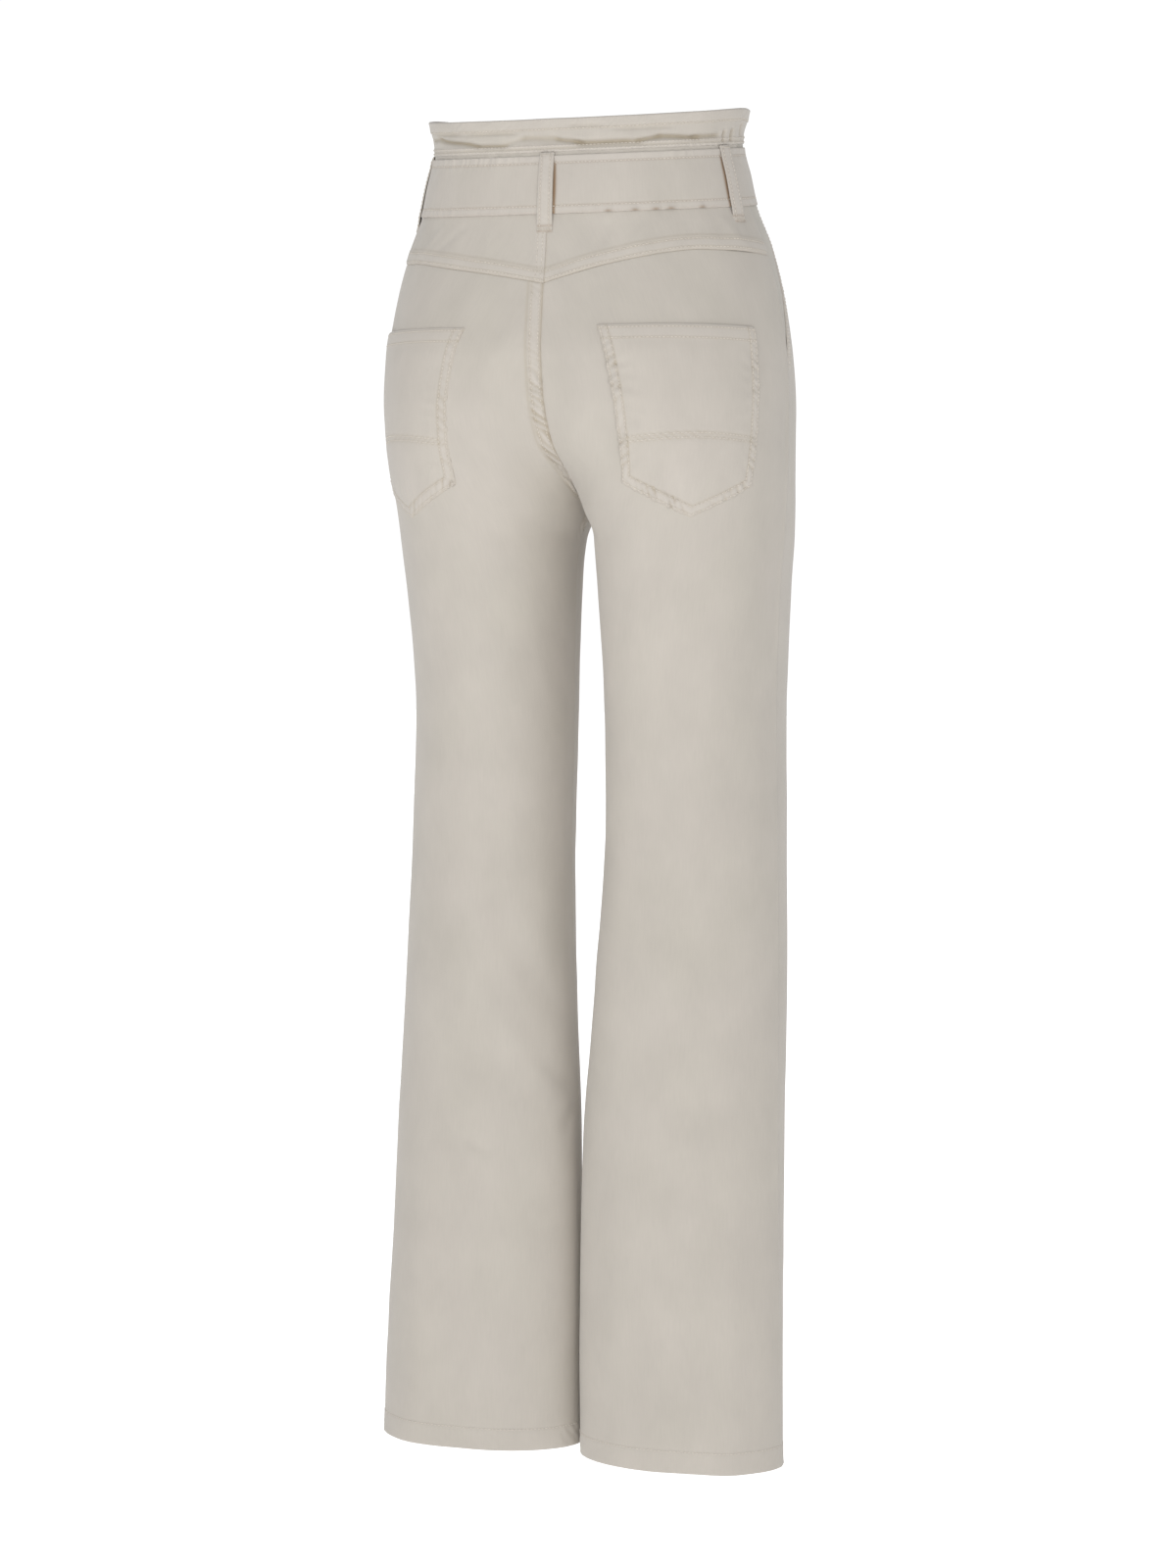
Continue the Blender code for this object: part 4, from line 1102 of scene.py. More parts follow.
@dataclass
class BackPocket(Sheet):
    """Patch pocket with a pointed foot, a hemmed mouth and double-stitched sides."""

    finish: Finish = POCKET_TWILL
    cut: tuple[float, float, float] = (0.134, 0.152, 0.0172)
    held: Held = Held.LAID
    top_corners: tuple = ((174.5, -115.0), (41.5, -119.0))
    foot_corners: tuple = ((161.0, -242.0), (99.0, -269.0), (49.5, -245.0))
    bow: float = 4.0
    skew: float = 6.0
    top_width: float = 133.0
    foot_width: float = 111.5
    side_depth: float = 126.0
    point_depth: float = 25.0
    foot_slope: float = 0.93  # cosine of the pointed foot's slant
    border: float = 9.0
    mouth_hem: float = 12.0
    row_level: float = -209.0
    lift: float = 1.05        # outer face above the panel at the sewn edge
    thickness: float = 0.9

    def corners(self) -> tuple[float, Array, Array]:
        """Share of the point across the pocket, and both corner rows."""
        foot = np.array(self.foot_corners)
        return (foot[1, 0] - foot[0, 0]) / (foot[2, 0] - foot[0, 0]), np.array(self.top_corners), foot

    def width_at(self, down: Array) -> Array:
        """Width at a share down the pocket."""
        return self.top_width + (self.foot_width - self.top_width) * down

    def depth_at(self, across: Array) -> Array:
        """Depth from the mouth to the foot at a share across."""
        point, _, _ = self.corners()
        return self.side_depth + np.interp(across, (0.0, point, 1.0), (0.0, self.point_depth, 0.0))

    def border_rows(self) -> tuple[float, float]:
        """Insets of the double row round the sides and foot."""
        return 1.8, self.border - 1.3

    def mouth_rows(self) -> tuple[float, float]:
        """Distances below the mouth of its two rows."""
        return 2.4, self.mouth_hem - 0.8

    def lay(self, across: Array, down: Array) -> tuple[Array, Array]:
        """Turn and level of a place on the pocket, both shares 0 to 1."""
        point, top, foot = self.corners()
        foot_run = foot[0, 0] + (foot[2, 0] - foot[0, 0]) * across
        foot_level = np.interp(across, (0.0, point, 1.0), foot[:, 1])
        top_run = top[0, 0] + (top[1, 0] - top[0, 0]) * across
        top_level = top[0, 1] + (top[1, 1] - top[0, 1]) * across
        sag = 1.6 * np.sin(np.pi * across) * (1.0 - down)
        run = top_run + (foot_run - top_run) * down + self.bow * np.sin(np.pi * down) * (1.0 - across)
        level = top_level + (foot_level - top_level) * down + sag
        return FORM.side_turn(run - self.side.value * self.skew, level, 1), level

    def grid(self) -> tuple[Array, Array]:
        """Shares across and down; `surface` turns them into places."""
        point, _, _ = self.corners()
        near = 16.0 / 125.0
        across = graded(0.0, 1.0, 0.0165, ((0.0, near, 0.0088), (1.0 - near, 1.0, 0.0088)))
        across[np.argmin(np.abs(across - point))] = point
        down = graded(0.0, 1.0, 0.0145, ((0.0, 0.12, 0.0082), (0.86, 1.0, 0.0082)))
        return np.meshgrid(across, down)

    def edges(self, across: Array, down: Array) -> tuple[Array, Array, Array, Array]:
        """Millimetres from the inner side, outer side, mouth and foot."""
        width = self.width_at(down)
        depth = self.depth_at(across)
        return across * width, (1.0 - across) * width, down * depth, (1.0 - down) * depth * self.foot_slope

    def relief(self, across: Array, down: Array) -> tuple[Array, Array, Array]:
        """Height over the panel, cover of the borders and depth of their troughs."""
        inner, outer, mouth, foot = self.edges(across, down)
        side = np.minimum(inner, outer)
        edge = np.minimum(side, foot)
        border = plateau(edge, -2.0, self.border - 1.5, 1.8)
        hem = plateau(mouth, -2.0, self.mouth_hem, 1.8)
        lengthwise = np.where(foot < side, across * 120.0, mouth)
        seed = 131 + self.side.value
        twist = roping(edge, lengthwise, 7.4, 0.75, seed)
        uneven = 0.35 + 0.75 * smooth_step(0.6 + 0.9 * value_noise(across * 3.0, down * 3.0, seed + 3))
        uneven = uneven * np.where(inner < outer, 1.0, 0.6) * smooth_step((down + 0.05) / 0.3)
        grooves = sum(bump_at(edge, inset, 0.9) for inset in self.border_rows())
        puff = smooth_step(edge / 28.0) * smooth_step((mouth + 10.0) / 30.0)
        pull = roping(edge, lengthwise, 13.0, 0.5, seed + 5)
        drag = bump_at(edge, 14.0, 7.0) * (1 - hem) * 0.5 * pull * uneven
        open_edge = 0.1 * np.exp(-mouth / 9.0) * smooth_step(side / 22.0)
        open_edge = open_edge - 0.6 * np.exp(-(mouth / 0.9) ** 2)
        soft = 0.30 * value_noise(across * 5.0, down * 5.0, seed + 7) * smooth_step(edge / 12.0)
        height = self.lift + 0.55 * puff + border * (0.14 + 1.25 * twist * uneven)
        height -= 0.22 * grooves * (1 - 0.6 * hem)
        height += hem * (0.20 + 0.10 * roping(mouth, across * 130.0, 6.0, 0.3, seed + 9)) + open_edge
        height -= 0.22 * sum(bump_at(mouth, row, 0.9) for row in self.mouth_rows())
        across_rows = sum(bump_at(down, self.row_down(across, offset), 0.0085) for offset in (-0.5, 0.5))
        height += drag + soft - 0.38 * across_rows * smooth_step(edge / 6.0)
        height -= 0.55 * np.exp(-(edge / 0.9) ** 2)
        return height, np.maximum(border, hem), border * np.clip(-twist, 0.0, 1.0) * uneven

    def row_down(self, across: Array, offset: float) -> Array:
        """Share down the pocket of the plain double row, in row spacings from its middle."""
        point, top, foot = self.corners()
        wanted = self.row_level + 4.0 * np.sin(np.pi * across) - offset * 3.6
        top_level = top[0, 1] + (top[1, 1] - top[0, 1]) * across
        return (top_level - wanted) / (top_level - np.interp(across, (0.0, point, 1.0), foot[:, 1]))

    def surface(self, across: Array, down: Array, extra: float = 0.0) -> tuple[Array, Array]:
        """Points and normals on the pocket's outer face."""
        turn, level = self.lay(across, down)
        height, _, _ = self.relief(across, down)
        point, normal = FORM.at(turn, level)
        point = point + normal * (height + extra)[..., None]
        flip = np.array([self.side.value, 1.0, 1.0])
        return point * flip, normal * flip

    def marks(self, across: Array, down: Array) -> tuple[Array, Array]:
        """Paler borders and mouth hem, partly wash wear and partly painted highlight; painted shade in the
        borders' troughs, along the sewn edge, in the stitch grooves and along the plain double row.
        """
        _, cover, troughs = self.relief(across, down)
        inner, outer, mouth, foot = self.edges(across, down)
        edge = np.minimum(np.minimum(inner, outer), foot)
        painted_shade = 0.75 * troughs + 0.22 * np.exp(-(edge / 0.5) ** 2)
        near, far = self.mouth_rows()
        painted_shade += 0.34 * bump_at(edge, self.border - 1.0, 1.0) + 0.24 * bump_at(edge, 1.8, 0.8)
        painted_shade += 0.26 * bump_at(mouth, near, 0.8) + 0.34 * bump_at(mouth, far, 0.9)
        lines = sum(bump_at(down, self.row_down(across, offset), 0.007) for offset in (-0.5, 0.5))
        painted_shade += 0.32 * lines * smooth_step(edge / 6.0)
        return 0.30 * cover, painted_shade

    def place(self, across: Array, down: Array) -> Array:
        """Cloth coordinates straight across and down the pocket."""
        return np.stack((across * 0.13 + 0.9, -down * 0.15), axis=-1)

    def rows(self) -> list[tuple[Array, Array]]:
        """Double rows round the sides and foot, at the mouth, and one plain double row across."""
        found = []
        for inset in self.border_rows():
            down = np.linspace(0.006, 1.0 - (inset + 1.0) / 135.0, 200)
            found.append((inset / self.width_at(down), down))
            found.append((1.0 - inset / self.width_at(down), down))
            across = np.linspace(inset / self.foot_width, 1.0 - inset / self.foot_width, 240)
            found.append((across, 1.0 - inset / self.foot_slope / self.depth_at(across)))
        across = np.linspace(0.014, 0.986, 240)
        found += [(across, drop / self.depth_at(across)) for drop in self.mouth_rows()]
        inside = np.linspace(0.075, 0.925, 240)
        found += [(inside, self.row_down(inside, offset)) for offset in (-0.5, 0.5)]
        return found


# ------------------------------------------------------------------ pieces right round the waist
RING_COLUMNS = ("ring_a", "level_a", "ring_b", "level_b", "width", "height", "bow")
FRILL_CREASES = (
    (-0.72, 44.0, -0.42, 43.0, 1.5, -1.5, 0.2),
    (-0.48, 43.0, -0.12, 43.5, 1.5, -1.3, 0.0),
    (-0.84, 37.5, -0.60, 40.5, 1.9, -2.4, 0.0),
    (-0.68, 40.5, -0.34, 32.5, 1.9, -3.2, 0.6),
    (-0.42, 33.0, -0.18, 32.0, 1.9, -2.6, 0.0),
    (-0.24, 33.0, -0.10, 39.0, 2.2, -1.2, 0.0),
    (-0.16, 39.0, 0.08, 36.5, 3.4, -1.8, 0.0),
    (0.02, 38.0, 0.20, 31.5, 2.0, -2.6, 0.5),
    (0.10, 33.0, 0.47, 31.5, 2.6, -3.0, 0.4),
    (0.40, 31.5, 0.55, 35.8, 2.1, -2.8, 0.0),
    (0.49, 35.2, 0.74, 32.6, 2.1, -3.0, -0.3),
    (0.66, 33.0, 0.86, 33.5, 2.3, -2.4, 0.0),
    (0.868, 39.0, 0.862, 27.0, 1.6, -2.6, 0.0),
    (0.930, 40.0, 0.925, 27.0, 2.0, -2.6, 0.0),
    (0.08, 49.0, 0.30, 46.5, 2.2, -1.1, 0.3),
    (0.28, 43.5, 0.62, 43.0, 1.6, -1.0, 0.0),
    (1.02, 44.0, 1.05, 29.0, 2.4, -2.0, 0.8),
    (1.18, 40.0, 1.42, 36.0, 2.6, -2.6, 1.0),
    (1.40, 47.0, 1.48, 29.0, 3.0, -2.2, 1.0),
    (1.62, 41.0, 1.86, 37.0, 2.6, -2.4, -1.0),
    (-1.06, 45.0, -1.09, 29.0, 2.6, -2.0, 0.8),
    (-1.24, 38.0, -1.48, 41.0, 2.6, -2.5, 1.0),
    (-1.52, 47.0, -1.58, 29.0, 3.0, -2.1, 1.0),
    (-1.70, 37.0, -1.90, 41.0, 2.6, -2.4, 1.0),
)
BELT_GAPS = (0.292, 0.400, 0.483, 0.545, 0.682, 1.30, 1.52, -1.22, -1.45, -1.66)
HALF_ROUND = 184.0      # length of a half of the waist's back or front


@dataclass
class RingSheet(Sheet):
    """A piece that goes right round the waist; places are a ring share (-2 to 2) and a level."""

    lift: float = 0.0

    def surface(self, ring: Array, level: Array, extra: float = 0.0) -> tuple[Array, Array]:
        """Points and normals on the outer face; ring is 0 at the centre back, negative by the left."""
        point, normal = FORM.at(1.0 - np.abs(ring), level)
        sign = np.stack((np.where(ring <= 0, 1.0, -1.0), np.ones(ring.shape), np.ones(ring.shape)), axis=-1)
        point = point + normal * (self.lift + self.height(ring, level) + extra)[..., None]
        return point * sign, normal * sign

    def place(self, ring: Array, level: Array) -> Array:
        """Cloth coordinates in metres along and across the band."""
        return np.stack((ring * HALF_ROUND * MM, level * MM), axis=-1)


@dataclass
class Frill(RingSheet):
    """Paperbag frill: a doubled band standing above the waist seam, open at the centre front."""

    thickness: float = 2.0
    held: Held = Held.GATHERED
    cut: tuple[float, float, float] = (0.840, 0.030, 0.0250)
    hem_depth: float = 8.0
    seam_rows: tuple[float, float] = (31.0, 27.4)
    front_drop: float = 3.8

    def grid(self) -> tuple[Array, Array]:
        """Close rows, and columns close enough for the creases."""
        ring, share = np.meshgrid(np.linspace(-1.9992, 1.9992, 640), np.linspace(1.0, 0.0, 34))
        foot = WAIST_SEAM + 0.15
        return ring, foot + (self.rim(ring) - foot) * share

    def rim(self, ring: Array) -> Array:
        """Level of the free edge, a little lower round the front."""
        return FRILL_TOP - self.front_drop * smooth_step((np.abs(ring) - 0.95) / 0.35)

    def folds(self, ring: Array, level: Array) -> Array:
        """Height of the listed creases."""
        height = np.zeros(np.broadcast(ring, level).shape)
        for row in FRILL_CREASES:
            made = dict(zip(RING_COLUMNS, row))
            ax, az = made["ring_a"] * HALF_ROUND, made["level_a"]
            dx, dz = made["ring_b"] * HALF_ROUND - ax, made["level_b"] - az
            long = np.hypot(dx, dz)
            px, pz = ring * HALF_ROUND - ax, level - az
            along = (px * dx + pz * dz) / long ** 2
            off = (px * dz - pz * dx) / long - made["bow"] * np.sin(2 * np.pi * np.clip(along, 0, 1))
            taper = smooth_step(along / 0.25) * smooth_step((1.0 - along) / 0.25)
            height = height + made["height"] * bump_at(off, 0.0, made["width"]) * taper
        return height

    def height(self, ring: Array, level: Array) -> Array:
        """The free edge's waves, the folded hem band, the listed creases and the gathers' small ribs."""
        share = (level - WAIST_SEAM) / (FRILL_TOP - WAIST_SEAM)
        fullness = 0.55 + 0.45 * smooth_step(np.abs(ring) - 0.6)
        fullness = fullness * (1.0 - 0.75 * bump_at(np.abs(ring), 1.0, 0.22))
        waves = sum(size * np.sin(count * np.pi * ring / 2.0 + phase)
                    for count, size, phase in ((7.0, 1.0, 0.4), (11.0, 0.9, 1.7), (17.0, 0.7, 0.9)))
        height = fullness * waves * np.clip(share, 0, 1) ** 1.3 + self.folds(ring, level)
        run = ring * HALF_ROUND
        top = self.rim(ring) - level
        slant = roping(top, run, 4.6, 0.9, 141)
        hem = plateau(top, -1.0, self.hem_depth, 1.4)
        ribs = np.sin(2 * np.pi * (run + 6.0 * value_noise(run / 23.0, level / 20.0, 143)) / 7.0)
        gathers = np.exp(-(level - WAIST_SEAM) / 5.0) * ribs
        height = height + hem * (0.55 + 0.34 * slant)
        height = height - 0.25 * bump_at(top, self.hem_depth, 1.0) + 0.28 * gathers
        stand = 0.9 * bump_at(level, 30.6, 1.5) + 0.9 * bump_at(level, 27.0, 1.3)
        return height + stand + 0.35 * value_noise(run / 9.0, level / 7.0, 145)

    def marks(self, ring: Array, level: Array) -> tuple[Array, Array]:
        """Paler on the stitched ridges and the hem band, partly wash wear and partly painted highlight;
        painted shade in the creases and the stitch grooves.
        """
        wear_and_highlight = 0.5 * bump_at(level, 30.6, 1.4) + 0.5 * bump_at(level, 27.2, 1.3)
        top = self.rim(ring) - level
        wear_and_highlight += 0.25 * plateau(top, -1.0, self.hem_depth, 1.4)
        grooves = 0.30 * (bump_at(level, 28.9, 0.8) + bump_at(top, self.hem_depth, 0.9))
        shade = 0.8 * smooth_step((-0.3 - self.folds(ring, level)) / 3.2)
        return wear_and_highlight, np.clip(shade + grooves, 0.0, 1.0)

    def rows(self) -> list[tuple[Array, Array]]:
        """The hem row and the double row on the waist seam."""
        ring = np.linspace(-1.995, 1.995, 1500)
        return [(ring, self.rim(ring) - self.hem_depth)] + [
            (ring, np.full(1500, level)) for level in self.seam_rows]


@dataclass
class Belt(RingSheet):
    """Self-cloth belt round the waist, stitched along both edges."""

    thickness: float = 1.05
    finish: Finish = BELT_TWILL
    held: Held = Held.GATHERED
    cut: tuple[float, float, float] = (0.760, 0.045, 0.0340)
    row_inset: float = 5.6
    lift: float = 1.5

    def grid(self) -> tuple[Array, Array]:
        """Close rows at both edges."""
        level = -graded(-BELT_HALF, BELT_HALF, 1.9, ((-22.5, -15.0, 0.95), (15.0, 22.5, 0.95)))
        return np.meshgrid(np.linspace(-1.9975, 1.9975, 640), level)

    def height(self, ring: Array, level: Array) -> Array:
        """Vertical puckers that run in from both edges, soft waves, and small gaps at the lower edge."""
        run = ring * HALF_ROUND
        top, low = BELT_HALF - level, level + BELT_HALF
        stronger = 0.55 + 0.45 * smooth_step((-ring + 0.1) / 0.3)
        upper = np.exp(-(top / 8.0) ** 2) * roping(top, run, 6.2, 0.15, 151) * stronger
        lower = np.exp(-(low / 7.0) ** 2) * roping(low, run, 7.4, 0.10, 153) * stronger
        soft = 0.45 * value_noise(run / 24.0, level / 40.0, 155)
        soft = soft + 0.25 * value_noise(run / 11.0, level / 16.0, 157)
        grooves = bump_at(top, self.row_inset, 0.9) + bump_at(low, self.row_inset, 0.9)
        gaps = sum(bump_at(run, place * HALF_ROUND, 3.2) for place in BELT_GAPS) * np.exp(-(low / 3.0) ** 2)
        return 0.80 * upper + 0.62 * lower + soft - 0.25 * grooves + 1.1 * gaps

    def marks(self, ring: Array, level: Array) -> tuple[Array, Array]:
        """Paler along both edges, partly wash wear and partly painted highlight; a brown painted shadow in
        the slit where a loop stands off, and painted shade in the stitch grooves and under the lower edge.
        """
        top, low = BELT_HALF - level, level + BELT_HALF
        wear_and_highlight = 0.42 * (smooth_step((5.2 - top) / 1.2) + smooth_step((5.2 - low) / 1.2))
        run = ring * HALF_ROUND
        slit = 0.0 * run
        # Painted shadow in the slit beside each loop that has one.
        for loop in (place for place in LOOPS if place.slit_side):
            edge = loop.slit_run()
            width = 1.1 + 0.7 * np.sin(np.pi * np.clip((18.0 - level) / 40.0, 0, 1)) ** 2
            slit = slit + np.exp(-((run - edge) / width) ** 2) * smooth_step((20.0 - level) / 6.0)
        # Painted shade in both stitch grooves.
        slit = slit + 0.24 * sum(bump_at(rise, self.row_inset + 0.2, 0.8) for rise in (top, low))
        # Painted shadow in the small gaps under the lower edge, and a faint painted shade all along it.
        gaps = sum(bump_at(run, place * HALF_ROUND, 2.6) for place in BELT_GAPS)
        slit = slit + (0.10 + 0.55 * gaps) * np.exp(-(low / 1.2) ** 2)
        return wear_and_highlight, np.clip(slit, 0.0, 1.0)

    def rows(self) -> list[tuple[Array, Array]]:
        """One row along each edge."""
        ring = np.linspace(-1.99, 1.99, 1600)
        edge = BELT_HALF - self.row_inset
        return [(ring, np.full(1600, level)) for level in (edge, -edge)]


@dataclass(frozen=True)
class LoopPlace:
    """Where a belt loop is: its node, ring share, foot and the side of the painted shadow in its slit, 0 for
    none.
    """

    node: str
    ring: float
    foot: float
    slit_side: int

    def slit_run(self) -> float:
        """Run of the painted shadow in the slit beside the loop."""
        return self.ring * HALF_ROUND + self.slit_side * (7.9 if self.slit_side > 0 else 7.0)


LOOPS = (
    LoopPlace("belt_loop_back", 0.0, -37.0, 1),
    LoopPlace("belt_loop_side_left", -0.87, -35.0, 0),
    LoopPlace("belt_loop_side_right", 0.87, -35.0, -1),
    LoopPlace("belt_loop_front_left", -1.60, -35.0, 1),
    LoopPlace("belt_loop_front_right", 1.60, -35.0, -1),
)


@dataclass
class BeltLoop(RingSheet):
    """Stitched strip that stands over the belt, tacked down above and below it."""

    thickness: float = 1.0
    finish: Finish = BELT_TWILL
    held: Held = Held.FOLDED
    cut: tuple[float, float, float] = (0.013, 0.067, 0.00087)
    spot: LoopPlace = field(default_factory=lambda: LOOPS[0])
    width: float = 13.0
    head: float = 25.2        # level of the upper end
    row_offset: float = 4.1   # how far each stitch row is from the middle

    def grid(self) -> tuple[Array, Array]:
        """Across the strip and down it."""
        half = self.width / 2 / HALF_ROUND
        across = np.linspace(-half, half, 17)
        level = np.linspace(self.head, self.spot.foot, 74)
        return np.meshgrid(self.spot.ring + across, level)

    def height(self, ring: Array, level: Array) -> Array:
        """Down at both ends and over the belt, with two stitched grooves."""
        rows = ((26.2, 1.3), (24.6, 2.2), (22.0, 3.2), (8.0, 3.5), (-10.0, 3.5), (-23.0, 3.2), (-29.0, 2.2),
                (-32.5, 1.7), (-40.0, 1.5))
        knots = np.array(rows)[::-1]
        high = sum(np.interp(level + shift, knots[:, 0], knots[:, 1]) for shift in (-2.0, 0.0, 2.0)) / 3.0
        off = (ring - self.spot.ring) * HALF_ROUND
        edge = self.width / 2 - np.abs(off)
        high = high - 0.35 * np.exp(-(edge / 1.2) ** 2) - 0.22 * bump_at(edge, 2.4, 0.8)
        high = high + 0.16 * roping(off, level, 6.5, 0.6, 161) * smooth_step(edge / 3.0)
        tack = bump_at(level, self.spot.foot + 2.2, 1.2) + bump_at(level, 23.8, 1.0)
        return high - 0.25 * tack

    def marks(self, ring: Array, level: Array) -> tuple[Array, Array]:
        """Paler in the middle, partly wash wear and partly painted highlight; painted shade at the bar tacks
        by the foot and in the stitch grooves.
        """
        off = np.abs(ring - self.spot.ring) * HALF_ROUND
        bars = sum(bump_at(level, self.spot.foot + rise, 0.9) for rise in (0.4, 4.6))
        return 0.3 * smooth_step((5.5 - off) / 2.0), 0.34 * bars + 0.14 * bump_at(off, self.row_offset, 0.9)

    def rows(self) -> list[tuple[Array, Array]]:
        """A row by each side."""
        level = np.linspace(22.4, self.spot.foot + 3.5, 160)
        shift = self.row_offset / HALF_ROUND
        return [(np.full(160, self.spot.ring + off), level) for off in (-shift, shift)]

    def tacks(self) -> list[tuple[Array, Array]]:
        """Bar-tack threads across both ends."""
        across = np.linspace(-5.6, 5.6, 40) / HALF_ROUND + self.spot.ring
        places = (self.spot.foot + 1.4, self.spot.foot + 2.2, self.spot.foot + 3.0, 23.4, 24.2)
        return [(across, np.full(40, level)) for level in places]


# ------------------------------------------------------------------ the tie at the front
@dataclass
class BeltTail(Sheet):
    """Free end of the tie, hanging from the knot just off the front panel."""

    finish: Finish = BELT_TWILL
    thickness: float = 1.9
    length: float = 236.0
    lean: float = 16.0
    lift: float = 3.6
    cut: tuple[float, float, float] = (0.042, 0.236, 0.0080)

    def lay(self, share: Array, down: Array) -> tuple[Array, Array]:
        """Turn and level of a place on the tail."""
        slant = 26.0 * share * smooth_step((down - 0.7) / 0.3)
        level = -28.3 - (self.length - slant) * down
        width = 26.0 + 16.0 * smooth_step(down / 0.5)
        run = 3.0 + self.lean * down + width * share
        return FORM.middle_turn(run, level, -1), level

    def grid(self) -> tuple[Array, Array]:
        """Shares across and down."""
        return np.meshgrid(graded(0.0, 1.0, 0.045, ((0.0, 0.12, 0.025), (0.88, 1.0, 0.025))),
                           np.linspace(0.0, 1.0, 120))

    def surface(self, share: Array, down: Array, extra: float = 0.0) -> tuple[Array, Array]:
        """Outer face, gathered into folds at the knot and opening out below."""
        turn, level = self.lay(share, down)
        fall = self.lift + 5.0 * (1.0 - smooth_step(down / 0.4))
        gather = (1.0 - smooth_step(down / 0.55))
        folds = 1.9 * gather * np.cos(2 * np.pi * (1.6 * share + 0.5 * down))
        sway = 0.8 * np.sin(2 * np.pi * (1.3 * down + 0.2 * share)) * smooth_step(down / 0.3)
        edge = np.minimum(share, 1.0 - share) * 40.0
        groove = -0.25 * bump_at(edge, 2.6, 0.9) + 0.22 * np.exp(-(edge / 4.0) ** 2) * roping(
            edge, down * self.length, 7.0, 0.5, 171 + self.side.value)
        point, normal = FORM.at(turn, level)
        high = fall + 2.4 + folds + sway + groove + 0.4 * value_noise(share * 2.0, down * 9.0, 173)
        flip = np.array([self.side.value, 1.0, 1.0])
        return (point + normal * (high + extra)[..., None]) * flip, normal * flip

    def marks(self, share: Array, down: Array) -> tuple[Array, Array]:
        """Paler at the stitched edges, partly wash wear and partly painted highlight; painted shade in the
        gathers.
        """
        edge = np.minimum(share, 1.0 - share) * 40.0
        gather = (1.0 - smooth_step(down / 0.35))
        dark = 0.5 * gather * smooth_step(-np.cos(2 * np.pi * (1.6 * share + 0.5 * down)))
        return 0.4 * np.exp(-(edge / 2.4) ** 2), dark

    def place(self, share: Array, down: Array) -> Array:
        """Cloth coordinates along the tail."""
        return np.stack((share * 0.042 + 2.0, -down * self.length * MM), axis=-1)

    def rows(self) -> list[tuple[Array, Array]]:
        """A row inside each long edge and one at the slanted end."""
        down = np.linspace(0.02, 0.985, 260)
        found = [(np.full(260, share), down) for share in (0.065, 0.935)]
        share = np.linspace(0.065, 0.935, 60)
        return found + [(share, np.full(60, 0.985))]


@dataclass
class BeltKnot:
    """The tie's knot: a rounded pad of wrapped cloth in front of the belt."""

    weaver: Weaver
    name: str = "belt_knot"
    width: float = 40.0
    height: float = 52.0
    depth: float = 15.0

    def make(self) -> bpy.types.Object:
        """Wrapped folds run slantwise over a rounded pad."""
        middle, _ = FORM.at(np.array(-1.0), np.array(0.0))
        low, _ = FORM.at(np.array(-1.0), np.array(-self.height / 2))
        centre_y = low[1] - 4.1 - self.depth / 2
        rise, spin = np.meshgrid(np.linspace(-1.45, 1.45, 60), np.linspace(0, 2 * np.pi, 96, endpoint=False),
                                 indexing="ij")
        reach = np.cos(rise) ** 0.5
        across = np.sign(np.cos(spin)) * np.abs(np.cos(spin)) ** 0.75
        deep = np.sign(np.sin(spin)) * np.abs(np.sin(spin)) ** 0.75
        front = np.clip(-deep, 0.0, 1.0)
        folds = np.sin(2 * np.pi * (across * 0.9 + np.sin(rise) * 0.75 + 0.15) * 1.35)
        pinch = 1.0 - 0.10 * np.cos(rise * 1.2) ** 6
        x = self.width / 2 * reach * across * pinch
        y = centre_y + self.depth / 2 * reach * deep * (1.0 + 0.10 * folds * front)
        z = middle[2] + self.height / 2 * np.sin(rise) + 0.7 * folds * front
        points = np.stack((x, y, z), axis=-1).reshape(-1, 3)
        rows, columns = rise.shape
        index = np.arange(rows * columns).reshape(rows, columns)
        after = np.roll(index, -1, axis=1)
        faces = np.stack((index[:-1], after[:-1], after[1:], index[1:]), axis=-1).reshape(-1, 4)
        caps = [[a, b, c, d] for ring in (index[0][::-1], index[-1])
                for a, b, c, d in ((ring[i], ring[i + 1], ring[columns - 2 - i], ring[columns - 1 - i])
                                   for i in range(columns // 2 - 1))]
        faces = np.vstack((faces, np.array(caps)))
        places = np.stack((spin * 0.02 + 3.0, rise * 0.02), axis=-1).reshape(-1, 2)
        # Painted shade in the troughs of the wrapped folds on the knot's front; the rest is paler, partly
        # wash wear and partly painted highlight.
        dark = (0.5 * front * smooth_step(-folds - 0.2)).ravel()
        wear_and_highlight = 0.3 * (1 - dark)
        piece = self.weaver.mesh(f"cloth_{self.name}", points, faces, places, wear_and_highlight, dark, BELT_TWILL)
        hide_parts(self.name)
        LOG.info("%s: %d faces", piece.name, len(piece.data.polygons))
        return piece


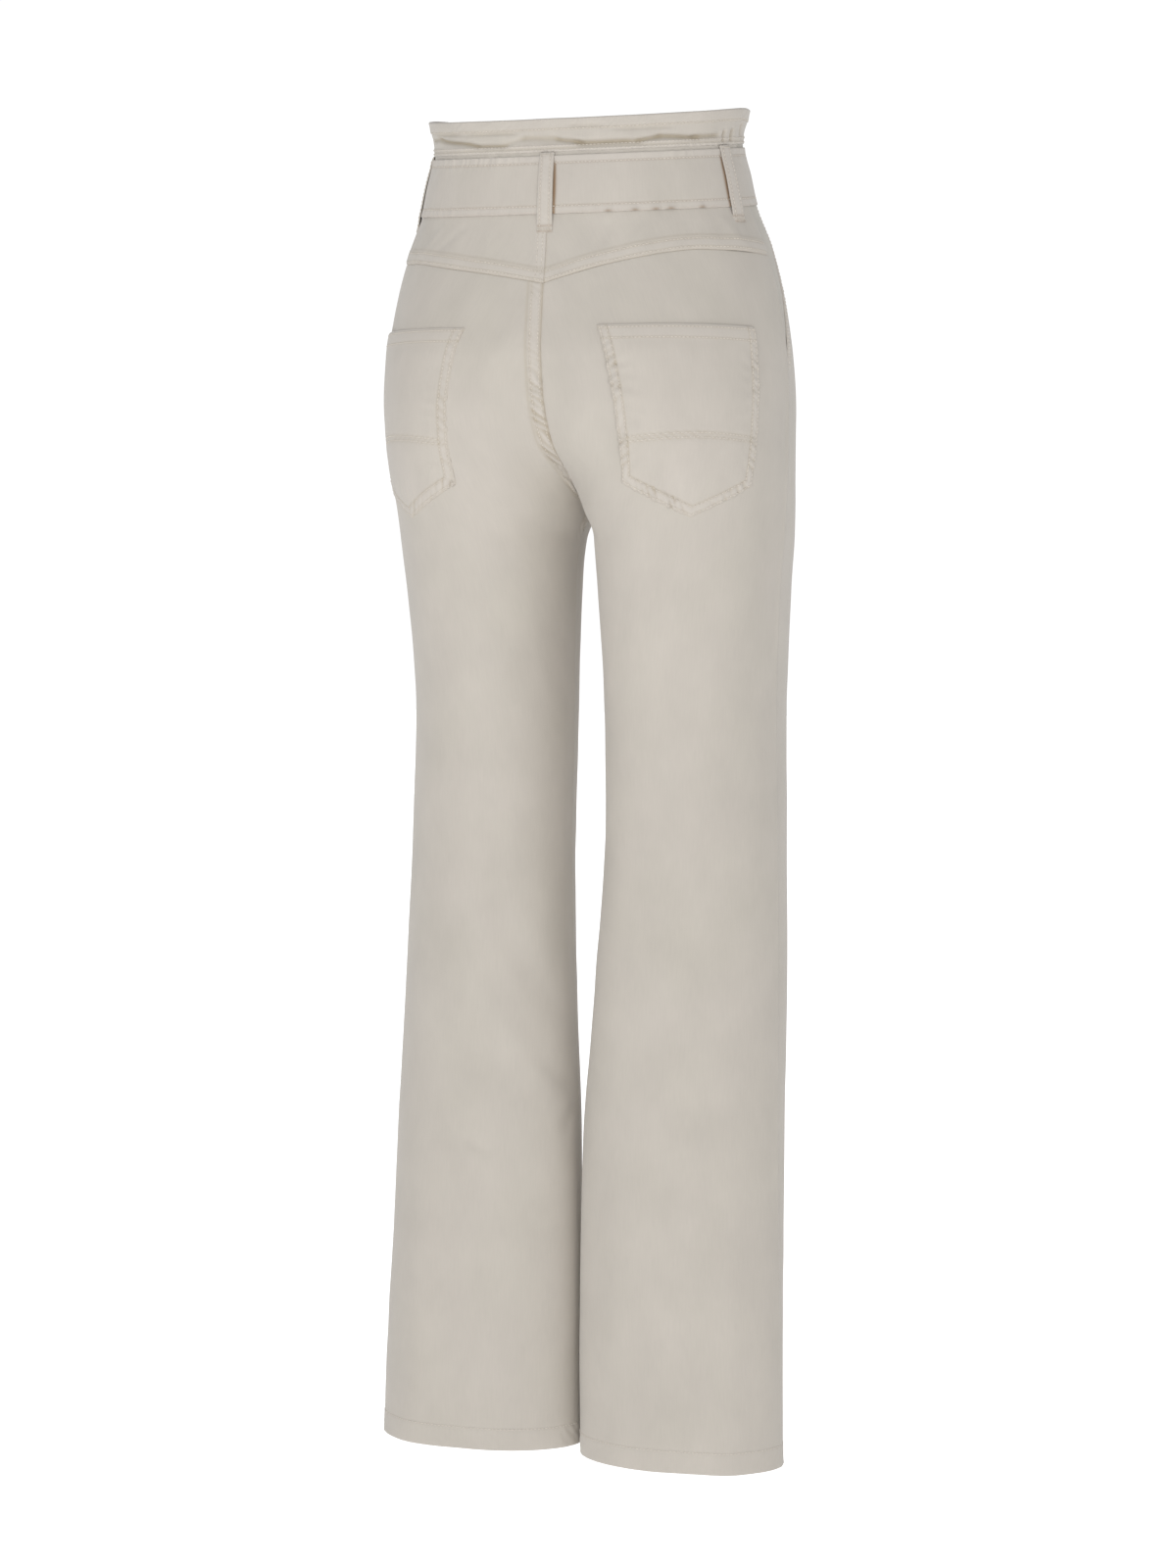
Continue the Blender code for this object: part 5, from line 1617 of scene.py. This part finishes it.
# ------------------------------------------------------------------ thread
@dataclass
class Stitching:
    """Rows of separate stitches lying on one sheet, joined into one mesh."""

    weaver: Weaver
    pitch: float = 3.1
    share: float = 0.74
    radius: float = 0.36

    def row(self, sheet: Sheet, first: Array, second: Array, pitch: float) -> tuple[Array, Array]:
        """Vertices and faces of one row.

        Args:
            sheet: the sheet the row lies on.
            first: the sheet's first coordinate along the row.
            second: its second coordinate.
            pitch: distance from one stitch to the next.

        Returns:
            Vertices and quads, the quads counting from 0.
        """
        base, normal = sheet.surface(np.asarray(first, float), np.asarray(second, float))
        run = np.concatenate(([0.0], np.cumsum(np.linalg.norm(np.diff(base, axis=0), axis=1))))
        count = max(int(run[-1] / pitch), 1)
        starts = (np.arange(count) + 0.13) * run[-1] / count
        shares = np.array((0.0, 0.22, 0.78, 1.0))
        spots = starts[:, None] + shares * self.share * pitch
        spots = np.minimum(spots, run[-1])
        middle = np.stack([np.interp(spots, run, base[:, i]) for i in range(3)], axis=-1)
        up = np.stack([np.interp(spots, run, normal[:, i]) for i in range(3)], axis=-1)
        along = middle[:, -1:] - middle[:, :1]
        along = along / (np.linalg.norm(along, axis=-1, keepdims=True) + 1e-9)
        side = np.cross(np.broadcast_to(along, up.shape), up)
        side = side / (np.linalg.norm(side, axis=-1, keepdims=True) + 1e-9)
        rise = np.array((-0.20, 0.12, 0.12, -0.20))[None, :, None]
        size = self.radius * np.array((0.55, 1.0, 1.0, 0.55))[None, :, None]
        corners = [middle + up * rise + size * (side * c + up * s)
                   for c, s in ((1.0, 0.0), (0.0, 1.0), (-1.0, 0.0), (0.0, -1.0))]
        vertices = np.stack(corners, axis=2).reshape(-1, 3)
        one = []
        for ring in range(3):
            for corner in range(4):
                following = (corner + 1) % 4
                a, b = ring * 4 + corner, ring * 4 + following
                one.append((a, b, b + 4, a + 4))
        one += [(3, 2, 1, 0), (12, 13, 14, 15)]
        faces = (np.arange(count)[:, None, None] * 16 + np.array(one)[None]).reshape(-1, 4)
        return vertices, faces

    def sew(self, sheet: Sheet) -> list[bpy.types.Object]:
        """All of a sheet's rows as one mesh, or none if it has no rows."""
        tacks = sheet.tacks() if isinstance(sheet, BeltLoop) else []
        jobs = [(row, self.pitch) for row in sheet.rows()] + [(row, 1.1) for row in tacks]
        if not jobs:
            return []
        vertices, faces, count = [], [], 0
        for (first, second), pitch in jobs:
            made, quads = self.row(sheet, first, second, pitch)
            vertices.append(made)
            faces.append(quads + count)
            count += len(made)
        points = np.vstack(vertices)
        flat = np.zeros(len(points))
        piece = self.weaver.mesh(f"stitches_{sheet.name}", points, np.vstack(faces),
                                 points[:, [0, 2]] * MM, flat, flat, THREAD)
        return [piece]


# ------------------------------------------------------------------ studio
@dataclass
class Studio:
    """White floor, soft light and the camera behind the wearer, to the right."""

    floor_level: float = -1.105
    azimuth: float = 201.0
    distance: float = 3.0
    camera_height: float = -0.290
    aim_height: float = -0.484
    aside: float = -0.0016
    lens: float = 85.05
    surround: float = 0.485
    floor_glow: float = 0.48
    floor_seen: float = 0.85
    # name, azimuth and elevation in degrees, distance and size in metres, watts
    lamps: tuple[tuple[str, float, float, float, float, float], ...] = (
        ("key", 205.0, 14.0, 3.2, 2.2, 24.5), ("fill", 168.0, 6.0, 3.5, 1.8, 15.0))

    def build(self) -> None:
        """Floor, world, lamps and camera."""
        self.floor()
        self.world()
        for lamp in self.lamps:
            self.lamp(*lamp)
        self.camera()

    def floor(self) -> None:
        """A pale floor well below the hems."""
        mesh = bpy.data.meshes.new("floor")
        reach = 14.0
        corners = [(x * reach, y * reach, self.floor_level) for x, y in ((-1, -1), (1, -1), (1, 1), (-1, 1))]
        mesh.from_pydata(corners, [], [(0, 1, 2, 3)])
        made = bpy.data.materials.new("floor_white")
        made.use_nodes = True
        shader = made.node_tree.nodes["Principled BSDF"]
        noise = made.node_tree.nodes.new("ShaderNodeTexNoise")
        noise.inputs["Scale"].default_value = 0.6
        ramp = made.node_tree.nodes.new("ShaderNodeMapRange")
        ramp.inputs["To Min"].default_value = 0.93
        ramp.inputs["To Max"].default_value = 0.95
        made.node_tree.links.new(noise.outputs["Fac"], ramp.inputs["Value"])
        made.node_tree.links.new(ramp.outputs["Result"], shader.inputs["Base Color"])
        shader.inputs["Roughness"].default_value = 0.9
        shader.inputs["Specular IOR Level"].default_value = 0.0
        shader.inputs["Emission Color"].default_value = (1.0, 1.0, 1.0, 1.0)
        seen = made.node_tree.nodes.new("ShaderNodeLightPath")
        glow = made.node_tree.nodes.new("ShaderNodeMapRange")
        glow.inputs["To Min"].default_value = self.floor_glow
        glow.inputs["To Max"].default_value = self.floor_seen
        made.node_tree.links.new(seen.outputs["Is Camera Ray"], glow.inputs["Value"])
        made.node_tree.links.new(glow.outputs["Result"], shader.inputs["Emission Strength"])
        mesh.materials.append(made)
        thing = bpy.data.objects.new("floor", mesh)
        bpy.context.scene.collection.objects.link(thing)

    def world(self) -> None:
        """An even white surround."""
        world = bpy.data.worlds.new("studio")
        world.use_nodes = True
        back = world.node_tree.nodes["Background"]
        back.inputs["Color"].default_value = (1.0, 1.0, 1.0, 1.0)
        seen = world.node_tree.nodes.new("ShaderNodeLightPath")
        strength = world.node_tree.nodes.new("ShaderNodeMapRange")
        strength.inputs["To Min"].default_value = self.surround
        strength.inputs["To Max"].default_value = 1.05
        world.node_tree.links.new(seen.outputs["Is Camera Ray"], strength.inputs["Value"])
        world.node_tree.links.new(strength.outputs["Result"], back.inputs["Strength"])
        bpy.context.scene.world = world
        bpy.context.scene.view_settings.view_transform = "Standard"

    def lamp(self, name: str, azimuth: float, elevation: float, distance: float, size: float,
             power: float) -> None:
        """One soft square lamp aimed at the middle of the garment."""
        light = bpy.data.lights.new(name, "AREA")
        light.size = size
        light.energy = power
        thing = bpy.data.objects.new(name, light)
        a, e = np.radians(azimuth), np.radians(elevation)
        aim = Vector((0.0, 0.0, self.aim_height))
        towards = Vector((np.sin(a) * np.cos(e), -np.cos(a) * np.cos(e), np.sin(e)))
        thing.location = aim + distance * towards
        thing.rotation_euler = (aim - thing.location).to_track_quat("-Z", "Y").to_euler()
        bpy.context.scene.collection.objects.link(thing)

    def camera(self) -> None:
        """The camera at the garment's back, a little towards the wearer's right."""
        a = np.radians(self.azimuth)
        right = Vector((np.cos(a), np.sin(a), 0.0))
        aim = Vector((0.0, 0.0, self.aim_height)) + right * self.aside
        data = bpy.data.cameras.new("camera")
        data.lens = self.lens
        data.sensor_width = 36.0
        data.sensor_fit = "AUTO"
        camera = bpy.data.objects.new("camera", data)
        camera.location = (aim[0] + self.distance * np.sin(a), aim[1] - self.distance * np.cos(a),
                           self.camera_height)
        camera.rotation_euler = (aim - camera.location).to_track_quat("-Z", "Y").to_euler()
        bpy.context.scene.collection.objects.link(camera)
        bpy.context.scene.camera = camera


# ------------------------------------------------------------------ the garment
def sheets(weaver: Weaver) -> list[Sheet]:
    """Every sheet of the garment."""
    found: list[Sheet] = []
    for side in Side:
        word = side.name.lower()
        found += [BackPanel(f"back_{word}", side, weaver), FrontPanel(f"front_{word}", side, weaver),
                  Yoke(f"yoke_{word}", side, weaver), PocketFacing(f"pocket_facing_{word}", side, weaver),
                  BackPocket(f"back_pocket_{word}", side, weaver)]
    found += [Fly("fly_placket", Side.LEFT, weaver), Frill("frill", Side.LEFT, weaver),
              Belt("belt", Side.LEFT, weaver)]
    found += [BeltLoop(spot.node, Side.LEFT, weaver, spot=spot) for spot in LOOPS]
    found += [BeltTail("belt_tail_left", Side.LEFT, weaver, length=236.0, lean=16.0, lift=3.6),
              BeltTail("belt_tail_right", Side.RIGHT, weaver, length=214.0, lean=22.0, lift=1.2,
                       cut=(0.042, 0.214, 0.0073))]
    return found


def main() -> None:
    """Build the garment piece by piece, then the studio."""
    logging.basicConfig(level=logging.INFO, format="%(message)s", stream=sys.stdout)
    weaver = Weaver()
    stitching = Stitching(weaver)
    for sheet in sheets(weaver):
        sheet.threads = stitching.sew(sheet)
        sheet.make()
    BeltKnot(weaver).make()
    Studio().build()


if __name__ == "__main__":
    main()
